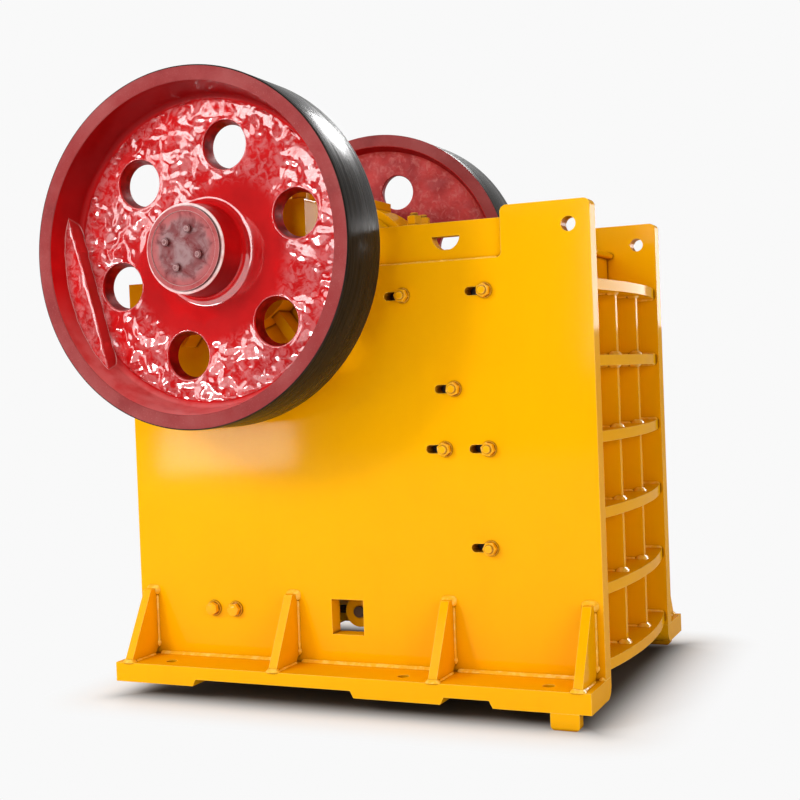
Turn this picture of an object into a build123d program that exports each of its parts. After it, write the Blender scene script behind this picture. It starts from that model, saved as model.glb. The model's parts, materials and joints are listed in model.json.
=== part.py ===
from build123d import *
import math
import os

# A stationary single-toggle jaw crusher, in millimetres.
# X runs from the rear of the frame (0) to its front, Y to the left side, Z up from the underside of the pads.
# Each piece is shaped in that layout and moved when it is kept: the anchor bolts' centre is the origin.

# Along the machine, from the rear edge of the frame to its front edge
shaft_setback = 565.0
shaft_behind_jaw = 479.0
gape = 600.0
jaw_base_thickness = 62.0
tooth_height = 34.0
front_plate_thickness = 45.0
front_recess = 215.0
jaw_thickness = jaw_base_thickness + tooth_height
frame_length = shaft_setback + shaft_behind_jaw + gape + jaw_thickness + front_plate_thickness + front_recess

# Frame walls
frame_width = 1110.0
wall_thickness = 70.0
shoulder_height = 1630.0
peak_rise = 190.0
peak_length = 342.0
corner_radius = 25.0
shoulder_fillet = 20.0
panel_rise = 148.0
panel_setback = 20.0
panel_hole_width = 112.0
panel_hole_height = 53.0
panel_hole_front = 511.0
panel_hole_drop = 53.0
lifting_hole_diameter = 55.0
lifting_hole_inset = 82.0
lifting_hole_drop = 88.0
window_size = 138.0
window_behind_pin = 59.0
window_below_pin = 67.0

# Base
flange_reach = 199.0
flange_thickness = 50.0
pad_thickness = 27.0
pad_length = 380.0
pad_end_slope = 14.0
heel_radius = 48.0
anchor_hole_diameter = 44.0
anchor_rear = 222.0
anchor_middle_setback = 746.0
anchor_front_setback = 177.0
anchor_inset = 74.0
lug_length = 107.0
lug_height = 60.0
lug_thickness = 45.0
lug_front_gap = 45.0
lug_corner_radius = 16.0
gusset_thickness = 35.0
gusset_height = 274.0
gusset_toe_gap = 4.0
gusset_top_width = 44.0
gusset_toe_height = 6.0
gusset_cope = 26.0
gusset_first = 60.0
gusset_spacing = 670.0
gusset_front_gap = 50.0
gusset_rear_count = 3

# Front and rear walls with their ribs
front_wall_rise = 50.0
top_flange_thickness = 22.0
top_flange_overhang = 28.0
top_flange_edge_radius = 9.0
rib_thickness = 40.0
rib_first_top = 134.0
rib_spacing = 280.0
rib_end_setback = 15.0
rib_bulge = 45.0
stiffener_thickness = 25.0
stiffener_spread = 330.0
stiffener_setback = 15.0
rear_recess = 150.0
rear_plate_thickness = 45.0
rear_rib_setback = 20.0
rear_wall_drop = 330.0

# Crushing chamber
closed_side_gap = 120.0
cheek_thickness = 35.0
ledge_thickness = 40.0
wedge_thickness = 60.0
wedge_height = 80.0
tooth_pitch = 75.0
tooth_crest = 27.0
jaw_side_gap = 10.0
jaw_bottom = 330.0
jaw_top_rise = 10.0
swing_jaw_top_drop = 20.0
cheek_drop = 30.0
slot_length = 96.0
slot_height = 32.0
slot_end_gap = 1.0
cheek_bolt_diameter = 30.0
cheek_nut_width = 46.0
cheek_nut_height = 24.0
cheek_bolt_end = 9.0
cheek_washer_thickness = 5.0
cheek_washer_diameter = 58.0
# Each cheek bolt: its distance behind the front edge, then its drop below the shoulder (upper ones)
# or its rise above the foot of the jaws (lower ones)
upper_bolts = [(745.0, 120.0), (412.0, 119.0), (547.0, 482.0)]
lower_bolts = [(591.0, 591.0), (415.0, 590.0), (421.0, 218.0)]

# Shaft, bearings and flywheels
shaft_rise = 80.0
eccentric_diameter = 270.0
eccentric_throw = 15.0
journal_diameter = 230.0
wheel_seat_diameter = 200.0
housing_radius = 308.0
housing_inner_reach = 35.0
housing_outer_reach = 115.0
housing_wall = 108.0
housing_foot_thickness = 50.0
foot_beyond_ear = 55.0
ear_bite = 53.0
ear_width = 90.0
ear_step = 20.0
ear_radius = 14.0
crown_pad_height = 20.0
crown_pad_width = 220.0
bearing_width = 150.0
cover_inset = 46.0
cover_thickness = 25.0
inner_cover_lap = 25.0
inner_cover_thickness = 12.0
cap_bolt_spread = 108.0
cap_nut_width = 60.0
cap_nut_height = 46.0
cap_bolt_end = 14.0
cap_bolt_diameter = 39.0
bracket_angle = 37.0
bracket_length = 122.0
bracket_thickness = 40.0
bracket_depth = 95.0
wheel_radius = 680.0
rim_width = 271.0
rim_edge_thickness = 57.0
rim_draft = 26.0
rim_chamfer = 4.0
cover_to_wheel = 20.5
web_thickness = 60.0
web_back_depth = 63.0
web_fillet = 26.0
hub_radius = 170.0
hub_draft = 10.0
hub_fillet = 34.0
hub_inner_setback = 5.0
wheel_hole_diameter = 185.0
wheel_hole_to_rim = 95.5
wheel_hole_count = 6
wheel_hole_start = 16.0
weight_depth = 100.0
weight_height = 70.0
weight_angle = 195.0
weight_overlap = 14.0
hub_cap_inset = 12.0
hub_cap_thickness = 12.0
hub_cap_border = 18.0
hub_cap_recess = 3.0

# Pitman, toggle and tension gear
pitman_half_gap = 25.0
barrel_radius = 275.0
pitman_front_thickness = 70.0
pitman_front_beyond = 184.0
pitman_rib_thickness = 25.0
pitman_rib_spread = 185.0
pitman_rib_root = 165.0
pin_behind_jaw = 591.0
pin_z = 262.0
pin_diameter = 44.0
pin_lobe_radius = 62.0
pin_end = 12.0
toggle_end_radius = 45.0
toggle_thickness = 60.0
toggle_behind_jaw = 433.0
toggle_front_z = 480.0
toggle_rear_z = 560.0
toggle_end_gap = 105.0
seat_depth = 70.0
seat_height = 150.0
seat_wall_thickness = 40.0
toggle_beam_depth = 190.0
toggle_beam_height = 210.0
beam_plate_thickness = 35.0
rod_diameter = 32.0
rod_eye_radius = 50.0
rod_eye_width = 38.0
rod_eye_play = 1.0
rod_wall_gap = 10.0
rod_end = 14.0
rod_nut_width = 65.0
rod_nut_height = 19.0
spring_radius = 40.0
spring_wire = 14.0
spring_ridge = 3.5
spring_length = 84.0
spring_inner_gap = 1.0
spring_plate_thickness = 8.0
spring_plate_lip = 8.0
spring_beam_depth = 158.0
spring_beam_height = 112.0
spring_beam_lift = 16.0
beam_bolt_inset = 28.0
beam_bolt_diameter = 24.0
beam_washer_diameter = 62.0
beam_washer_thickness = 6.0
beam_head_width = 46.0
beam_head_height = 24.0

# Clearances
fit_gap = 0.3
pin_play = 0.05
running_gap = 5.0

# Places that follow from the sizes above
half_width = frame_width / 2
inner_y = half_width - wall_thickness
flange_top = pad_thickness + flange_thickness
flange_outer_y = half_width + flange_reach
anchor_y = flange_outer_y - anchor_inset
anchor_middle = frame_length - anchor_middle_setback
anchor_front = frame_length - anchor_front_setback
shaft_x = shaft_setback
shaft_z = shoulder_height + shaft_rise
front_face = frame_length - front_recess
front_back = front_face - front_plate_thickness
front_wall_bottom = rib_first_top - rib_thickness
front_wall_top = shoulder_height + front_wall_rise
front_rib_count = int((front_wall_top - rib_first_top) // rib_spacing) + 1
rear_plate_front = rear_recess + rear_plate_thickness
rear_rib_count = int((shoulder_height - rear_wall_drop - rib_first_top) // rib_spacing) + 1
cheek_y = inner_y - cheek_thickness
jaw_half_width = cheek_y - jaw_side_gap
fixed_face = front_back - jaw_thickness
housing_inner_y = inner_y - housing_inner_reach
housing_outer_y = half_width + housing_outer_reach
bearing_y = (housing_inner_y + housing_outer_y) / 2
pitman_half_width = housing_inner_y - pitman_half_gap
origin_x = (anchor_rear + anchor_front) / 2

# The bearing housing's ears stand at the flanks of its round crown and rise a step above it there.
bearing_radius = housing_radius - housing_wall
ear_inner = housing_radius - ear_bite
ear_outer = ear_inner + ear_width
ear_height = math.sqrt(housing_radius**2 - ear_inner**2) + ear_step
cap_bolt_setout = (ear_inner + ear_outer) / 2
housing_foot_reach = ear_outer + foot_beyond_ear
panel_rear = shaft_x + housing_foot_reach

# The flywheel's place and its section
wheel_inner_y = housing_outer_y + cover_thickness + cover_to_wheel
wheel_outer_y = wheel_inner_y + rim_width
hub_inner_y = wheel_inner_y + hub_inner_setback
hub_base_radius = hub_radius + hub_draft
hub_cap_radius = hub_radius - hub_cap_inset
rim_face_inner_radius = wheel_radius - rim_edge_thickness
rim_web_inner_radius = rim_face_inner_radius - rim_draft
web_depth = rim_width - web_thickness - web_back_depth
wheel_hole_centre = rim_web_inner_radius - wheel_hole_to_rim - wheel_hole_diameter / 2

# The swing jaw's tooth tips lie in a plane that leans back from the closed side up to the gape.
jaw_top = shoulder_height + jaw_top_rise
lean_x = fixed_face - closed_side_gap
swing_jaw_rise = jaw_top - swing_jaw_top_drop - jaw_bottom
lean_slope = (gape - closed_side_gap) / swing_jaw_rise
lean = math.degrees(math.atan(lean_slope))
swing_jaw_length = swing_jaw_rise / math.cos(math.radians(lean))
pitman_front_length = swing_jaw_length + pitman_front_beyond

# The toggle lies between a seat on its beam at the rear wall and a seat in the pitman.
toggle_rear_x = rear_plate_front + toggle_beam_depth + seat_depth
toggle_front_x = lean_x - lean_slope * (toggle_front_z - jaw_bottom) - toggle_behind_jaw
toggle_half_width = inner_y - toggle_end_gap

# The tension rods run from their nuts before the rear wall, through the spring beam, to the pitman's pins.
pin_x = lean_x - lean_slope * (pin_z - jaw_bottom) - pin_behind_jaw
rod_rear = rear_plate_front + rod_wall_gap
spring_plate_rear = rod_rear + rod_end + rod_nut_height
spring_rear = spring_plate_rear + spring_plate_thickness
spring_beam_rear = spring_rear + spring_length
spring_beam_front = spring_beam_rear + spring_beam_depth
beam_bolt_places = [spring_beam_rear + beam_bolt_inset, spring_beam_front - beam_bolt_inset]
beam_bolt_z = pin_z + spring_beam_lift

# Each cheek bolt's place in the wall
cheek_bolt_places = [(frame_length - behind, shoulder_height - drop) for behind, drop in upper_bolts]
cheek_bolt_places += [(frame_length - behind, jaw_bottom + rise) for behind, rise in lower_bolts]

# The toggle's front seat and the ribs and lugs of the pitman
seat_back = toggle_front_x + seat_depth
seat_low = toggle_front_z - seat_height / 2
seat_high = toggle_front_z + seat_height / 2
pitman_rib_half = pitman_rib_thickness / 2
eye_y = pitman_half_width - pitman_rib_thickness - rod_eye_width / 2
outer_lug_y = pitman_half_width - pitman_rib_half
inner_lug_y = eye_y - rod_eye_width / 2 - pitman_rib_half
lug_rib_places = [-outer_lug_y, -inner_lug_y, inner_lug_y, outer_lug_y]
plain_rib_places = [-pitman_rib_spread, 0.0, pitman_rib_spread]

nodes = {}


def block(x0, x1, y0, y1, z0, z1):
    """A rectangular block between two corners."""
    return Pos((x0 + x1) / 2, (y0 + y1) / 2, (z0 + z1) / 2) * Box(x1 - x0, y1 - y0, z1 - z0)


def slab(outline, y0, y1):
    """An outline drawn in X and Z, made solid from y0 to y1."""
    face_plane = Plane(origin=(0, y1, 0), x_dir=(1, 0, 0), z_dir=(0, -1, 0))
    return extrude(face_plane * outline, amount=y1 - y0)


def disc(x, z, radius, y0, y1):
    """A cylinder along Y."""
    return slab(Pos(x, z) * Circle(radius), y0, y1)


def outline(points):
    """A closed straight-sided face through the points."""
    return make_face(Polyline(*points, close=True))


def nearest(shape, spots):
    """The corners of a flat outline that lie nearest to the given spots."""
    found = []
    for spot in spots:
        found.append(min(shape.vertices(), key=lambda v: math.hypot(v.X - spot[0], v.Y - spot[1])))
    return found


def left_of(shape):
    """The same piece on the left side of the frame."""
    return mirror(shape, about=Plane.XZ)


def add(name, *solids):
    """Keep the solids of one named piece, moved so that the anchor bolts' centre is the origin."""
    moved = [Pos(-origin_x, 0, 0) * solid for solid in solids]
    nodes[name] = moved[0] if len(moved) == 1 else Compound(children=moved)


def add_both(name, *solids):
    """Keep a piece of the right side and its mirror image on the left, each under its own name."""
    add(name + "_right", *solids)
    add(name + "_left", *[left_of(solid) for solid in solids])


def add_pairs(name, *solids):
    """Keep like pieces of the right side and their mirror images on the left under one name."""
    add(name, *solids, *[left_of(solid) for solid in solids])


def side_wall():
    """One thick side wall with its raised front corner, slots, window, lifting hole and bearing seat."""
    peak_x = frame_length - peak_length
    peak_z = shoulder_height + peak_rise
    profile = outline([
        (0, flange_top),
        (frame_length, flange_top),
        (frame_length, peak_z),
        (peak_x, peak_z),
        (peak_x, shoulder_height),
        (0, shoulder_height),
    ])
    profile = fillet(nearest(profile, [(frame_length, peak_z), (peak_x, peak_z)]), corner_radius)
    profile = fillet(nearest(profile, [(peak_x, shoulder_height)]), shoulder_fillet)
    lifting_x = frame_length - lifting_hole_inset
    lifting_z = peak_z - lifting_hole_drop
    profile -= Pos(lifting_x, lifting_z) * Circle(lifting_hole_diameter / 2)
    window_x = pin_x - window_behind_pin + window_size / 2
    window_z = pin_z - window_below_pin + window_size / 2
    profile -= Pos(window_x, window_z) * Rectangle(window_size, window_size)
    profile -= Pos(shaft_x, shaft_z) * Circle(housing_radius + fit_gap)
    for bolt_x, bolt_z in cheek_bolt_places:
        slot_x = bolt_x + slot_height / 2 + slot_end_gap - slot_length / 2
        profile -= Pos(slot_x, bolt_z) * SlotOverall(slot_length, slot_height)
    for bolt_x in beam_bolt_places:
        profile -= Pos(bolt_x, beam_bolt_z) * Circle(beam_bolt_diameter / 2 + fit_gap)
    return slab(profile, -half_width, -inner_y)


def upper_panel():
    """The thinner panel above the wall's shoulder, with a half-round hole, flat side up."""
    panel_front = frame_length - peak_length
    panel_top = shoulder_height + panel_rise
    # The lower front corner is cut off to clear the fillet of the wall's shoulder.
    profile = outline([
        (panel_rear, shoulder_height),
        (panel_front - shoulder_fillet, shoulder_height),
        (panel_front, shoulder_height + shoulder_fillet),
        (panel_front, panel_top),
        (panel_rear, panel_top),
    ])
    hole_front = frame_length - panel_hole_front
    hole_rear = hole_front - panel_hole_width
    hole_top = panel_top - panel_hole_drop
    lowest = ((hole_front + hole_rear) / 2, hole_top - panel_hole_height)
    flat = Line((hole_rear, hole_top), (hole_front, hole_top))
    bow = ThreePointArc((hole_front, hole_top), lowest, (hole_rear, hole_top))
    profile -= make_face(flat + bow)
    return slab(profile, -half_width + panel_setback, -inner_y)


def heel():
    """What the rounded heel takes off the flange's inner lower edge, from end to end."""
    corner = Pos(heel_radius / 2, heel_radius / 2) * Rectangle(heel_radius, heel_radius)
    corner -= Pos(heel_radius, heel_radius) * Circle(heel_radius)
    start = Plane(origin=(0, -inner_y, 0), x_dir=(0, -1, 0), z_dir=(-1, 0, 0))
    return extrude(start * corner, amount=-frame_length)


def base_flange():
    """The foot of one side wall: a plate with three pads under it and an anchor hole through each."""
    foot = block(0, frame_length, -flange_outer_y, -inner_y, pad_thickness, flange_top)
    middle_start = anchor_middle - pad_length / 2
    # Each pad's ends inside the frame's length slope inwards towards the ground.
    pads = [
        (0, pad_length, 0, pad_end_slope),
        (middle_start, middle_start + pad_length, pad_end_slope, pad_end_slope),
        (frame_length - pad_length, frame_length, pad_end_slope, 0),
    ]
    for start, end, rear_slope, front_slope in pads:
        pad = outline([
            (start + rear_slope, 0),
            (end - front_slope, 0),
            (end, pad_thickness),
            (start, pad_thickness),
        ])
        foot += slab(pad, -flange_outer_y, -inner_y)
    for hole_x in (anchor_rear, anchor_middle, anchor_front):
        foot -= Pos(hole_x, -anchor_y, flange_top / 2) * Cylinder(anchor_hole_diameter / 2, flange_top * 2)
    return foot - heel()


def gussets():
    """Four sloping gussets from the flange's edge to the wall, each with a cope at the corner weld."""
    places = [gusset_first + gusset_spacing * index for index in range(gusset_rear_count)]
    places.append(frame_length - gusset_front_gap)
    toe_y = -flange_outer_y + gusset_toe_gap
    top_z = flange_top + gusset_height
    profile = outline([
        (-half_width, flange_top),
        (toe_y, flange_top),
        (toe_y, flange_top + gusset_toe_height),
        (-half_width - gusset_top_width, top_z),
        (-half_width, top_z),
    ])
    profile -= Pos(-half_width, flange_top) * Circle(gusset_cope)
    solids = []
    for place in places:
        face_plane = Plane(origin=(place - gusset_thickness / 2, 0, 0), x_dir=(0, 1, 0), z_dir=(1, 0, 0))
        solids.append(extrude(face_plane * profile, amount=gusset_thickness))
    return solids


def locating_lug():
    """A lug under the front pad that drops into the foundation frame."""
    lug_front = frame_length - lug_front_gap
    lug_rear = lug_front - lug_length
    profile = outline([(lug_rear, -lug_height), (lug_front, -lug_height), (lug_front, 0), (lug_rear, 0)])
    low_corners = nearest(profile, [(lug_rear, -lug_height), (lug_front, -lug_height)])
    profile = fillet(low_corners, lug_corner_radius)
    return slab(profile, -flange_outer_y, -flange_outer_y + lug_thickness)


def front_ribs():
    """Level ribs before the front wall plate, each bowed outward along its free edge."""
    end_x = frame_length - rib_end_setback
    edge = ThreePointArc((end_x, -inner_y), (end_x + rib_bulge, 0), (end_x, inner_y))
    back = Polyline((end_x, inner_y), (front_face, inner_y), (front_face, -inner_y), (end_x, -inner_y))
    rib = extrude(make_face(edge + back), amount=rib_thickness)
    solids = []
    for index in range(front_rib_count):
        solids.append(Pos(0, 0, rib_first_top + rib_spacing * index - rib_thickness) * rib)
    return solids


def stiffeners(x0, x1, rib_count):
    """Upright plates that fill the bays between the ribs."""
    solids = []
    for index in range(rib_count - 1):
        low = rib_first_top + rib_spacing * index
        high = low + rib_spacing - rib_thickness
        for y in (-stiffener_spread / 2, stiffener_spread / 2):
            solids.append(block(x0, x1, y - stiffener_thickness / 2, y + stiffener_thickness / 2, low, high))
    return solids


def toothed_outline(missing):
    """The level section of a jaw plate: flat back at X = 0 and teeth towards negative X."""
    half = jaw_half_width
    points = [(0, half), (0, -half), (-jaw_base_thickness, -half)]
    count = int(2 * half // tooth_pitch) - missing
    start = -count * tooth_pitch / 2
    for index in range(count):
        root = start + index * tooth_pitch
        middle = root + tooth_pitch / 2
        if root > -half:
            points.append((-jaw_base_thickness, root))
        points.append((-jaw_thickness, middle - tooth_crest / 2))
        points.append((-jaw_thickness, middle + tooth_crest / 2))
    if count * tooth_pitch / 2 < half:
        points.append((-jaw_base_thickness, count * tooth_pitch / 2))
    points.append((-jaw_base_thickness, half))
    return outline(points)


def fixed_jaw_plate():
    """The toothed plate on the front wall."""
    height = jaw_top - jaw_bottom
    return Pos(front_back, 0, jaw_bottom) * extrude(toothed_outline(0), amount=height)


def leaning(shape):
    """Turn a piece built upright at X = 0, Z = 0 so that it leans along the swing jaw's back plane."""
    return Pos(lean_x, 0, jaw_bottom) * Rot(0, -lean, 0) * shape


def swing_jaw_plate():
    """The toothed plate on the pitman, each tooth facing a valley of the fixed plate."""
    plate = extrude(toothed_outline(1), amount=swing_jaw_length)
    return leaning(Pos(-jaw_thickness, 0, 0) * Rot(0, 0, 180) * plate)


def cheek_plate():
    """The wear plate inside one side wall, between the two jaw plates."""
    shaft_side = fixed_face - gape + jaw_base_thickness
    profile = outline([
        (lean_x - jaw_thickness, jaw_bottom - cheek_drop),
        (front_back - fit_gap, jaw_bottom - cheek_drop),
        (front_back - fit_gap, jaw_top),
        (shaft_side, jaw_top),
    ])
    for bolt_x, bolt_z in cheek_bolt_places:
        profile -= Pos(bolt_x, bolt_z) * Circle(cheek_bolt_diameter / 2 + fit_gap)
    return slab(profile, -inner_y, -cheek_y)


def cheek_bolts():
    """Six bolts through the slots, each with a washer, a hexagon nut and its bolt end."""
    solids = []
    for x, z in cheek_bolt_places:
        face = -half_width
        washer = disc(x, z, cheek_washer_diameter / 2, face - cheek_washer_thickness, face)
        nut_face = face - cheek_washer_thickness - cheek_nut_height
        hexagon = Pos(x, z) * RegularPolygon(cheek_nut_width / 2, 6, major_radius=False)
        nut = slab(hexagon, nut_face, face - cheek_washer_thickness)
        shank = disc(x, z, cheek_bolt_diameter / 2, nut_face - cheek_bolt_end, -cheek_y)
        solids.append(washer + nut + shank)
    return solids


def spring_beam_bolts():
    """Two bolts with round washers that hold one end of the spring beam to the wall."""
    solids = []
    for x in beam_bolt_places:
        face = -half_width
        washer = disc(x, beam_bolt_z, beam_washer_diameter / 2, face - beam_washer_thickness, face)
        head_face = face - beam_washer_thickness - beam_head_height
        hexagon = Pos(x, beam_bolt_z) * RegularPolygon(beam_head_width / 2, 6, major_radius=False)
        head = slab(hexagon, head_face, face - beam_washer_thickness)
        shank = disc(x, beam_bolt_z, beam_bolt_diameter / 2, head_face, -inner_y)
        solids.append(washer + head + shank)
    return solids


def half_round(side):
    """Half of the bearing housing's round outline: above the shaft's centre for side 1, below it for -1."""
    half = Pos(0, side * housing_radius / 2) * Rectangle(2 * housing_radius, housing_radius)
    return Pos(shaft_x, shaft_z) * (Circle(housing_radius) & half)


def housing_body():
    """The lower half of one bearing housing, let into the wall's seat, with its feet on the shoulder."""
    profile = half_round(-1)
    foot_top = shoulder_height + housing_foot_thickness
    for side in (-1, 1):
        foot_x = shaft_x + side * (ear_inner + housing_foot_reach) / 2
        foot = Pos(foot_x, (shoulder_height + foot_top) / 2)
        profile += foot * Rectangle(housing_foot_reach - ear_inner, housing_foot_thickness)
        ear_x = shaft_x + side * (ear_inner + ear_outer) / 2
        ear = Pos(ear_x, (shoulder_height + shaft_z) / 2)
        profile += ear * Rectangle(ear_outer - ear_inner, shaft_rise)
    profile -= Pos(shaft_x, shaft_z) * Circle(bearing_radius)
    return slab(profile, -housing_outer_y, -housing_inner_y)


def bearing_cap():
    """The upper half of one bearing housing: a round crown with a raised pad and two tall bolt ears."""
    profile = half_round(1)
    crown = Pos(shaft_x, shaft_z + (housing_radius + crown_pad_height) / 2)
    profile += crown * Rectangle(crown_pad_width, housing_radius + crown_pad_height)
    for side in (-1, 1):
        ear_x = shaft_x + side * (ear_inner + ear_outer) / 2
        ear = Pos(ear_x, shaft_z + ear_height / 2) * Rectangle(ear_outer - ear_inner, ear_height)
        profile += ear
    top_corners = []
    for side in (-1, 1):
        top_corners.append((shaft_x + side * ear_outer, shaft_z + ear_height))
        top_corners.append((shaft_x + side * ear_inner, shaft_z + ear_height))
    profile = fillet(nearest(profile, top_corners), ear_radius)
    profile -= Pos(shaft_x, shaft_z) * Circle(bearing_radius)
    return slab(profile, -housing_outer_y, -housing_inner_y)


def cap_bolts():
    """Four bolts that stand on the ears of one bearing cap, each a hexagon nut and a bolt end."""
    solids = []
    ear_top = shaft_z + ear_height
    for side in (-1, 1):
        for row in (-1, 1):
            spot = Pos(shaft_x + side * cap_bolt_setout, -bearing_y + row * cap_bolt_spread / 2, ear_top)
            nut = extrude(RegularPolygon(cap_nut_width / 2, 6, major_radius=False), amount=cap_nut_height)
            end = extrude(Circle(cap_bolt_diameter / 2), amount=cap_nut_height + cap_bolt_end)
            solids.append(spot * (nut + end))
    return solids


def bearing_brackets():
    """Two radial plates on the outside of one wall that stand under the bearing housing."""
    solids = []
    for side in (-1, 1):
        plate = block(
            -bracket_thickness / 2,
            bracket_thickness / 2,
            -half_width - bracket_depth,
            -half_width,
            -housing_radius - bracket_length,
            -housing_radius + running_gap,
        )
        turned = Pos(shaft_x, 0, shaft_z) * Rot(0, -side * bracket_angle, 0) * plate
        solids.append(turned - disc(shaft_x, shaft_z, housing_radius + fit_gap, -wheel_inner_y, 0))
    return solids


def main_bearing():
    """One main bearing, seated in its housing and running on the shaft's journal."""
    ring = Circle(bearing_radius - fit_gap) - Circle(journal_diameter / 2 + pin_play)
    y0 = -bearing_y - bearing_width / 2
    return slab(Pos(shaft_x, shaft_z) * ring, y0, y0 + bearing_width)


def bearing_covers():
    """The outer and inner covers that close one bearing housing."""
    opening = Circle(journal_diameter / 2 + running_gap)
    outer = Pos(shaft_x, shaft_z) * (Circle(housing_radius - cover_inset) - opening)
    inner = Pos(shaft_x, shaft_z) * (Circle(bearing_radius + inner_cover_lap) - opening)
    outer_cover = slab(outer, -housing_outer_y - cover_thickness, -housing_outer_y)
    inner_cover = slab(inner, -housing_inner_y, -housing_inner_y + inner_cover_thickness)
    return [outer_cover, inner_cover]


def eccentric_shaft():
    """The shaft: a thick eccentric middle inside the pitman, journals and wheel seats at both ends."""
    seat_end = wheel_outer_y - hub_cap_thickness
    shaft = disc(shaft_x, shaft_z, wheel_seat_diameter / 2, -seat_end, seat_end)
    shaft += disc(shaft_x, shaft_z, journal_diameter / 2, -hub_inner_y, hub_inner_y)
    middle = pitman_half_width - running_gap
    shaft += disc(shaft_x + eccentric_throw, shaft_z, eccentric_diameter / 2, -middle, middle)
    return shaft


def flywheel():
    """One flywheel: a heavy rim and a hub on a web with round holes, and a counterweight in the rim."""
    bore = wheel_seat_diameter / 2 + fit_gap
    hub_end = rim_width - hub_inner_setback
    web_back = web_depth + web_thickness
    profile = outline([
        (bore, 0),
        (hub_radius, 0),
        (hub_base_radius, web_depth),
        (rim_web_inner_radius, web_depth),
        (rim_face_inner_radius, 0),
        (wheel_radius - rim_chamfer, 0),
        (wheel_radius, rim_chamfer),
        (wheel_radius, rim_width - rim_chamfer),
        (wheel_radius - rim_chamfer, rim_width),
        (rim_face_inner_radius, rim_width),
        (rim_web_inner_radius, web_back),
        (hub_base_radius, web_back),
        (hub_radius, hub_end),
        (bore, hub_end),
    ])
    hub_corners = [(hub_base_radius, web_depth), (hub_base_radius, web_back)]
    rim_corners = [(rim_web_inner_radius, web_depth), (rim_web_inner_radius, web_back)]
    profile = fillet(nearest(profile, hub_corners), hub_fillet)
    profile = fillet(nearest(profile, rim_corners), web_fillet)
    profile = fillet(nearest(profile, [(hub_radius, 0)]), rim_chamfer)
    profile = fillet(nearest(profile, [(rim_face_inner_radius, 0)]), rim_chamfer)
    wheel = Pos(shaft_x, -wheel_outer_y, shaft_z) * revolve(profile, Axis.Y)
    for index in range(wheel_hole_count):
        angle = math.radians(wheel_hole_start + index * 360 / wheel_hole_count)
        hole_x = shaft_x + wheel_hole_centre * math.cos(angle)
        hole_z = shaft_z + wheel_hole_centre * math.sin(angle)
        wheel -= disc(hole_x, hole_z, wheel_hole_diameter / 2, -wheel_outer_y, -wheel_inner_y)
    segment = Circle(rim_face_inner_radius - weight_overlap / 2)
    chord = rim_face_inner_radius - weight_depth
    beyond = Pos(chord + wheel_radius / 2, 0) * Rectangle(wheel_radius, 2 * wheel_radius)
    weight = Pos(shaft_x, shaft_z) * Rot(0, 0, weight_angle) * (segment & beyond)
    weight_front = -wheel_outer_y + web_depth - weight_height
    wheel += slab(weight, weight_front, -wheel_outer_y + web_depth + weight_overlap)
    return wheel


def hub_cap():
    """The round plate on the hub's outer face, slightly dished, that closes the shaft's end."""
    inner_face = -wheel_outer_y
    outer_face = inner_face - hub_cap_thickness
    plate = disc(shaft_x, shaft_z, hub_cap_radius, outer_face, inner_face)
    dish = disc(shaft_x, shaft_z, hub_cap_radius - hub_cap_border, outer_face, outer_face + hub_cap_recess)
    return plate - dish


def pitman():
    """The swing jaw stock: a barrel round the shaft, a front slab, upright ribs, a seat wall and pin lugs."""
    bore = eccentric_diameter / 2 + eccentric_throw + running_gap
    stock = disc(shaft_x, shaft_z, barrel_radius, -pitman_half_width, pitman_half_width)
    front = block(
        -jaw_thickness - pitman_front_thickness,
        -jaw_thickness,
        -jaw_half_width,
        jaw_half_width,
        0,
        pitman_front_length,
    )
    stock += leaning(front)
    seat_wall_front = seat_back + seat_wall_thickness
    seat_wall = block(seat_back, seat_wall_front, -pitman_half_width, pitman_half_width, seat_low, seat_high)
    stock += seat_wall
    for y in plain_rib_places:
        stock += slab(rib_profile(False), y - pitman_rib_half, y + pitman_rib_half)
    for y in lug_rib_places:
        stock += slab(rib_profile(True), y - pitman_rib_half, y + pitman_rib_half)
    stock -= disc(shaft_x, shaft_z, bore, -half_width, half_width)
    stock -= disc(pin_x, pin_z, pin_diameter / 2 + fit_gap, -half_width, half_width)
    return stock


def lobe_touch(toe):
    """The point under the pin lobe where a straight edge from the pitman's toe meets it smoothly."""
    run_x = toe.X - pin_x
    run_z = toe.Z - pin_z
    turn = math.atan2(run_z, run_x) - math.acos(pin_lobe_radius / math.hypot(run_x, run_z))
    return pin_x + pin_lobe_radius * math.cos(turn), pin_z + pin_lobe_radius * math.sin(turn)


def rib_profile(with_lobe):
    """One upright rib of the pitman, from the barrel to the seat and the toe, with or without a pin lobe."""
    slab_middle = -jaw_thickness - pitman_front_thickness / 2
    toe = leaning(Pos(slab_middle, 0, 0)).position
    shoulder = leaning(Pos(slab_middle, 0, pitman_front_length)).position
    points = [
        (shaft_x - pitman_rib_root, shaft_z - pitman_rib_root),
        (shaft_x, shaft_z),
        (shoulder.X, shoulder.Z),
        (toe.X, toe.Z),
    ]
    if with_lobe:
        points.append(lobe_touch(toe))
        points.append((pin_x, pin_z))
    points.append((seat_back - seat_depth, seat_low))
    points.append((seat_back, seat_low))
    points.append((seat_back, seat_high))
    points.append((seat_back - seat_depth, seat_high))
    profile = outline(points)
    if with_lobe:
        profile += Pos(pin_x, pin_z) * Circle(pin_lobe_radius)
    return profile


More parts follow.
